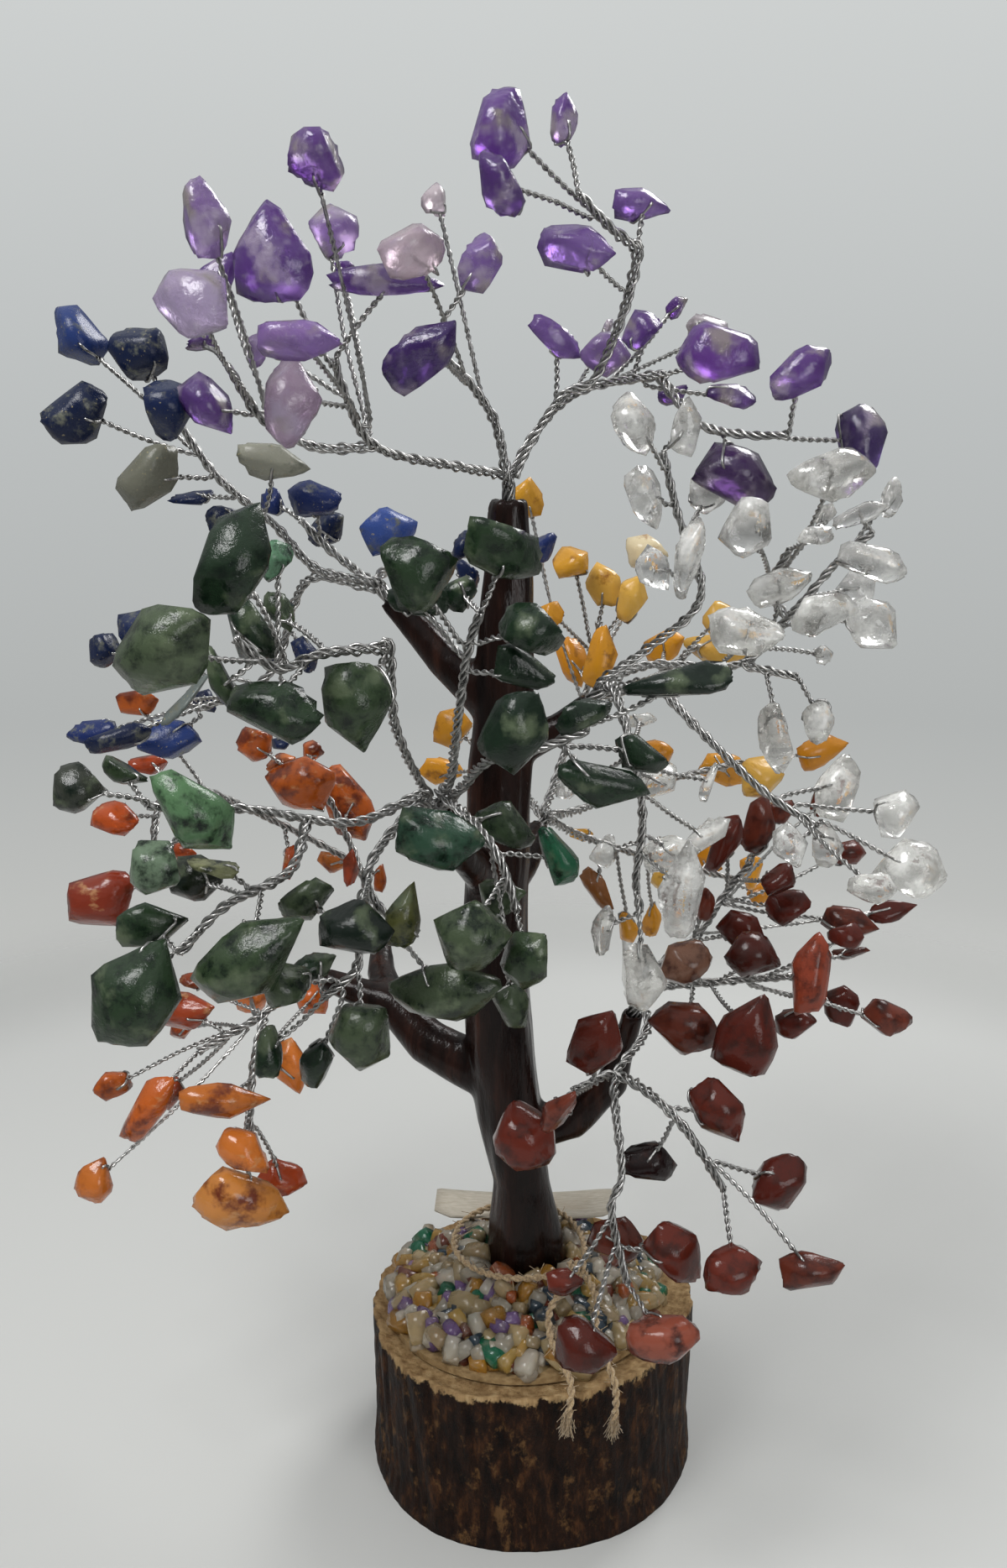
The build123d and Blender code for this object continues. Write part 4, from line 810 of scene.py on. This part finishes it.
def tag_rings(low, high, hole, hole_radius, clipped, thickness):
    """The card as rings from its punched hole out to its edge and back on the other face: each point lies on the
    straight line from the hole's rim to the outline. The card lifts with the square of the way to a corner, and
    its far edge sags down the heap."""
    curl, sag, slant = 0.0009, 0.003, 0.7071
    turn = np.linspace(0, 2 * math.pi, 96, endpoint=False)
    ways = np.stack([np.cos(turn), np.sin(turn)], axis=1)
    normals = np.array([(1, 0), (-1, 0), (0, 1), (0, -1), (slant, -slant), (-slant, -slant)])
    sides = np.array([high[0] - hole[0], hole[0] - low[0], high[1] - hole[1], hole[1] - low[1]])
    cuts = np.array([sides[0] + sides[3] - clipped, sides[1] + sides[3] - clipped]) * slant
    facing = np.maximum(ways @ normals.T, 1e-6)
    edge = (np.r_[sides, cuts] / facing).min(axis=1)
    share = np.array([0, 0.25, 0.5, 0.75, 1, 1, 0.75, 0.5, 0.25, 0])[:, None]
    flat = np.array(hole) + ways * (hole_radius + share * (edge - hole_radius))[..., None]
    across = (flat[..., 0] - (low[0] + high[0]) / 2) / (high[0] - low[0]) * 2
    back = (flat[..., 1] - low[1]) / (high[1] - low[1])
    top = np.array([0] * 5 + [1] * 5)[:, None] * thickness
    lie = high[2] - curl - (high[2] - low[2] - thickness + sag) * back
    return np.dstack([flat, lie + top + curl * across ** 2 * (0.4 + back)])


low, high = (np.array(end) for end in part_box("hang_tag"))
card_rings = tag_rings(low, high, hole=(-0.007, low[1] + 0.004), hole_radius=0.0018, clipped=0.004,
                       thickness=0.0005)
card_rings = np.vstack([card_rings, card_rings[:1]])
tag = closed_forms("blank_card_tag", [card_rings[None]], finish("blank_card", card_paint))
set_in_place(tag, "tag_card", "hang_tag")


# Jute twine: a two-ply string looped round the trunk's foot to hold the tag, tied in one knot, with two short
# tails that lie on the gravel and fray over the log's rim. Loose fibres stand out of it.
def jute_paint(tone):
    """Pale brown jute, with fibres of several browns along it."""
    fibres = tone.cloud(0.0005, detail=4, rough=0.6)
    brown = fibres.ramp((0.28, (0.19, 0.12, 0.06)), (0.52, (0.42, 0.30, 0.165)), (0.76, (0.60, 0.47, 0.29)))
    return {
        "Base Color": brown,
        "Roughness": 0.9,
        "Normal": fibres.bumped(0.0003),
        "Sheen Weight": 0.3,
    }


def spline_line(route):
    """Points read from a smooth line: a NURBS spline with the route's points as its control points."""
    curve = bpy.data.curves.new("route", "CURVE")
    curve.dimensions, curve.resolution_u = "3D", 10
    spline = curve.splines.new("NURBS")
    spline.points.add(len(route) - 1)
    spline.points.foreach_set("co", np.c_[np.array(route), np.ones(len(route))].ravel())
    spline.order_u = 3
    spline.use_endpoint_u = True
    holder = bpy.data.objects.new("route", curve)
    bpy.context.scene.collection.objects.link(holder)
    mesh = bpy.data.meshes.new_from_object(holder.evaluated_get(bpy.context.evaluated_depsgraph_get()))
    spots = np.empty(len(mesh.vertices) * 3)
    mesh.vertices.foreach_get("co", spots)
    bpy.data.objects.remove(holder)
    bpy.data.meshes.remove(mesh)
    return spots.reshape(-1, 3)


def fuzz(line, count, reach, lean, chance, bend=0.5):
    """Loose fibres that leave a line at chance places and curl away from it, each a bent hair, leaning onwards."""
    roots = line[chance.integers(len(line), size=count)]
    onwards = (line[-1] - line[0]) / np.linalg.norm(line[-1] - line[0])
    ways = chance.normal(size=(count, 3)) + lean * onwards
    ways /= np.linalg.norm(ways, axis=1, keepdims=True)
    curl = chance.normal(size=(count, 3)) * bend
    share = np.linspace(0, 1, 5)[None, :, None]
    length = reach * chance.uniform(0.5, 1.2, (count, 1, 1))
    return roots[:, None] + length * (share * ways[:, None] + share ** 2 * curl[:, None])


twine_routes = {
    "twine_loop": [(0.0068, -0.0136, 0.0504), (0, -0.0148, 0.0498), (-0.0085, -0.0135, 0.0496),
                   (-0.015, -0.008, 0.0496), (-0.0175, 0, 0.0496), (-0.015, 0.0085, 0.05),
                   (-0.008, 0.0135, 0.0506), (0, 0.014, 0.0507), (0.0075, 0.0105, 0.0504),
                   (0.011, 0.0035, 0.0502), (0.012, -0.004, 0.0504), (0.0112, -0.0098, 0.0506)],
    "twine_tail_short": [(0.009, -0.0152, 0.0504), (0.0056, -0.0186, 0.0492), (0.0030, -0.0232, 0.0472),
                         (0.0036, -0.0282, 0.0442), (0.0066, -0.0328, 0.0414), (0.0078, -0.0374, 0.0406),
                         (0.0068, -0.0384, 0.0348)],
    "twine_tail_long": [(0.0116, -0.0146, 0.0504), (0.0138, -0.0186, 0.0484), (0.0128, -0.0236, 0.0464),
                        (0.0134, -0.0284, 0.0432), (0.0156, -0.0328, 0.0412), (0.0168, -0.0352, 0.0376),
                        (0.0162, -0.0352, 0.0312)],
}
jute = finish("jute", jute_paint)
chance = np.random.default_rng(31)
low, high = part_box("twine_knot")
knot_wraps, knot_spread, knot_girth = 2.5, 0.55, 0.66
knot_turn = np.linspace(0, 2 * math.pi * knot_wraps, 90)[:, None]
knot_middle, knot_half = (np.array(low) + np.array(high)) / 2, (np.array(high) - np.array(low)) / 2
knot_line = knot_middle + np.c_[
    np.linspace(-knot_spread, knot_spread, 90) * knot_half[0],
    knot_girth * knot_half[1] * np.cos(knot_turn),
    knot_girth * knot_half[2] * np.sin(knot_turn)]
knot_plies = strands(knot_line[None], lay=0.00038, thickness=0.0008, pitch=0.0035, number=2, sides=6)
knot = closed_forms("twine_knot_wraps", [knot_plies], jute)
set_in_place(knot, "jute", "twine_knot")
tuft_spread = 0.00035
for name, route in twine_routes.items():
    line = spline_line(route)
    plies = strands(eased(line, 140)[None], lay=0.00038, thickness=0.00084, pitch=0.0042, number=2, sides=8)
    cord = closed_forms(name + "_plies", [plies], jute)
    set_in_place(cord, "jute", name)
    fibres = [fuzz(line, count=90, reach=0.0018, lean=0.0, chance=chance)]
    if name != "twine_loop":
        tuft = fuzz(line[-2:], count=160, reach=0.0034, lean=9.0, chance=chance, bend=0.16)
        fibres.append(tuft + chance.normal(size=(len(tuft), 1, 3)) * tuft_spread)
    fibres = strands(np.concatenate(fibres), lay=0.0, thickness=0.00016, pitch=1.0, number=1, sides=3)
    hairs = closed_forms(name + "_fibres", [fibres], jute)
    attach(hairs, "stand")


# Studio: a pale floor that fades into a grey surround. As the camera sees it, the surround is painted lighter above
# and darkest just below eye level, for light falling off down the backdrop; reflections show it darker at eye
# level.
# A soft key lamp hangs above the front, a weaker one behind, and a third stands low at the front right. The
# camera stands close, a little above the tree's middle, and looks down at it.
def floor_paint(tone):
    """Pale grey paper that thins out to nothing away from the tree."""
    place = tone.node("ShaderNodeTexCoord", {}, {}, "Object")
    away = tone.node("ShaderNodeVectorMath", {"operation": "LENGTH"}, {0: place}, "Value")
    paper = tone.node("ShaderNodeBsdfPrincipled", {}, {"Base Color": (0.54, 0.545, 0.525, 1), "Roughness": 0.8})
    nothing = tone.node("ShaderNodeBsdfTransparent", {}, {})
    return tone.node("ShaderNodeMixShader", {}, {0: away.between(0.26, 0.44), 1: paper, 2: nothing})


def floor_rings():
    """A thin flat disc as rings, from the rim of its underside in to the middle of its top."""
    turn = np.linspace(0, 2 * math.pi, 64, endpoint=False)
    reach = np.array([0.5, 0.5, 0.4, 0.3, 0.2, 0.1])[:, None]
    level = np.array([-0.002, 0, 0, 0, 0, 0])[:, None]
    return np.dstack([reach * np.cos(turn), reach * np.sin(turn), level + 0 * turn])


floor = closed_forms("floor", [floor_rings()[None]], finish("pale_paper", floor_paint))
world = bpy.data.worlds.new("grey_room")
bpy.context.scene.world = world
world.use_nodes = True
world.node_tree.nodes.clear()
room = Tone(world.node_tree)
rays = ("Is Camera Ray", "Is Glossy Ray", "Is Transmission Ray")
seen, mirrored, seen_through = [room.node("ShaderNodeLightPath", {}, {}, ray) for ray in rays]
way = room.node("ShaderNodeTexCoord", {}, {}, "Generated")
level = room.node("ShaderNodeSeparateXYZ", {}, {"Vector": way}, 2) * 0.5 + 0.5
# Painted light: the surround the camera sees is lighter above and darkest just below eye level, for light falling
# off down the backdrop.
backdrop_with_painted_falloff = level.ramp((0.30, (0.56, 0.565, 0.545)), (0.40, (0.44, 0.455, 0.45)), (0.50, (0.50, 0.52, 0.52)),
                  (0.64, (0.63, 0.65, 0.645)))
gloss = level.ramp((0.35, (0.30, 0.30, 0.29)), (0.48, (0.14, 0.145, 0.145)), (0.66, (0.32, 0.33, 0.33)),
                   (0.85, (0.70, 0.72, 0.72)))
shown = room.node("ShaderNodeBackground", {}, {"Color": mirrored.painted(backdrop_with_painted_falloff, gloss), "Strength": 1.0})
light = room.node("ShaderNodeBackground", {}, {"Color": (0.95, 0.97, 1.0, 1), "Strength": 0.4})
either = room.node("ShaderNodeMath", {"operation": "ADD", "use_clamp": True}, {0: seen + mirrored, 1: seen_through})
surround = room.node("ShaderNodeMixShader", {}, {0: either, 1: light, 2: shown})
room.node("ShaderNodeOutputWorld", {}, {"Surface": surround})
lamps = {"key": ((-0.28, -0.30, 0.72), 0.28, 3.6), "rear": ((0.30, 0.42, 0.62), 0.25, 2.4),
         "front": ((0.35, -0.6, 0.25), 0.3, 1.2)}
tree_middle = Vector((0, 0, 0.14))
for name, (place, width, power) in lamps.items():
    lamp = bpy.data.lights.new(name, "AREA")
    lamp.size, lamp.energy = width, power
    holder = bpy.data.objects.new(name, lamp)
    bpy.context.scene.collection.objects.link(holder)
    holder.location = place
    aim = tree_middle - holder.location
    holder.rotation_euler = aim.to_track_quat("-Z", "Y").to_euler()
look_down = 14.6
camera = bpy.data.cameras.new("camera")
camera.sensor_fit, camera.sensor_height = "VERTICAL", 36.0
camera.lens = 32.76
camera.clip_start = 0.01
viewer = bpy.data.objects.new("camera", camera)
bpy.context.scene.collection.objects.link(viewer)
viewer.location = (-0.006, -0.280, 0.227)
viewer.rotation_euler = (math.radians(90 - look_down), 0, 0)
bpy.context.scene.camera = viewer
bpy.context.scene.view_settings.view_transform = "Standard"
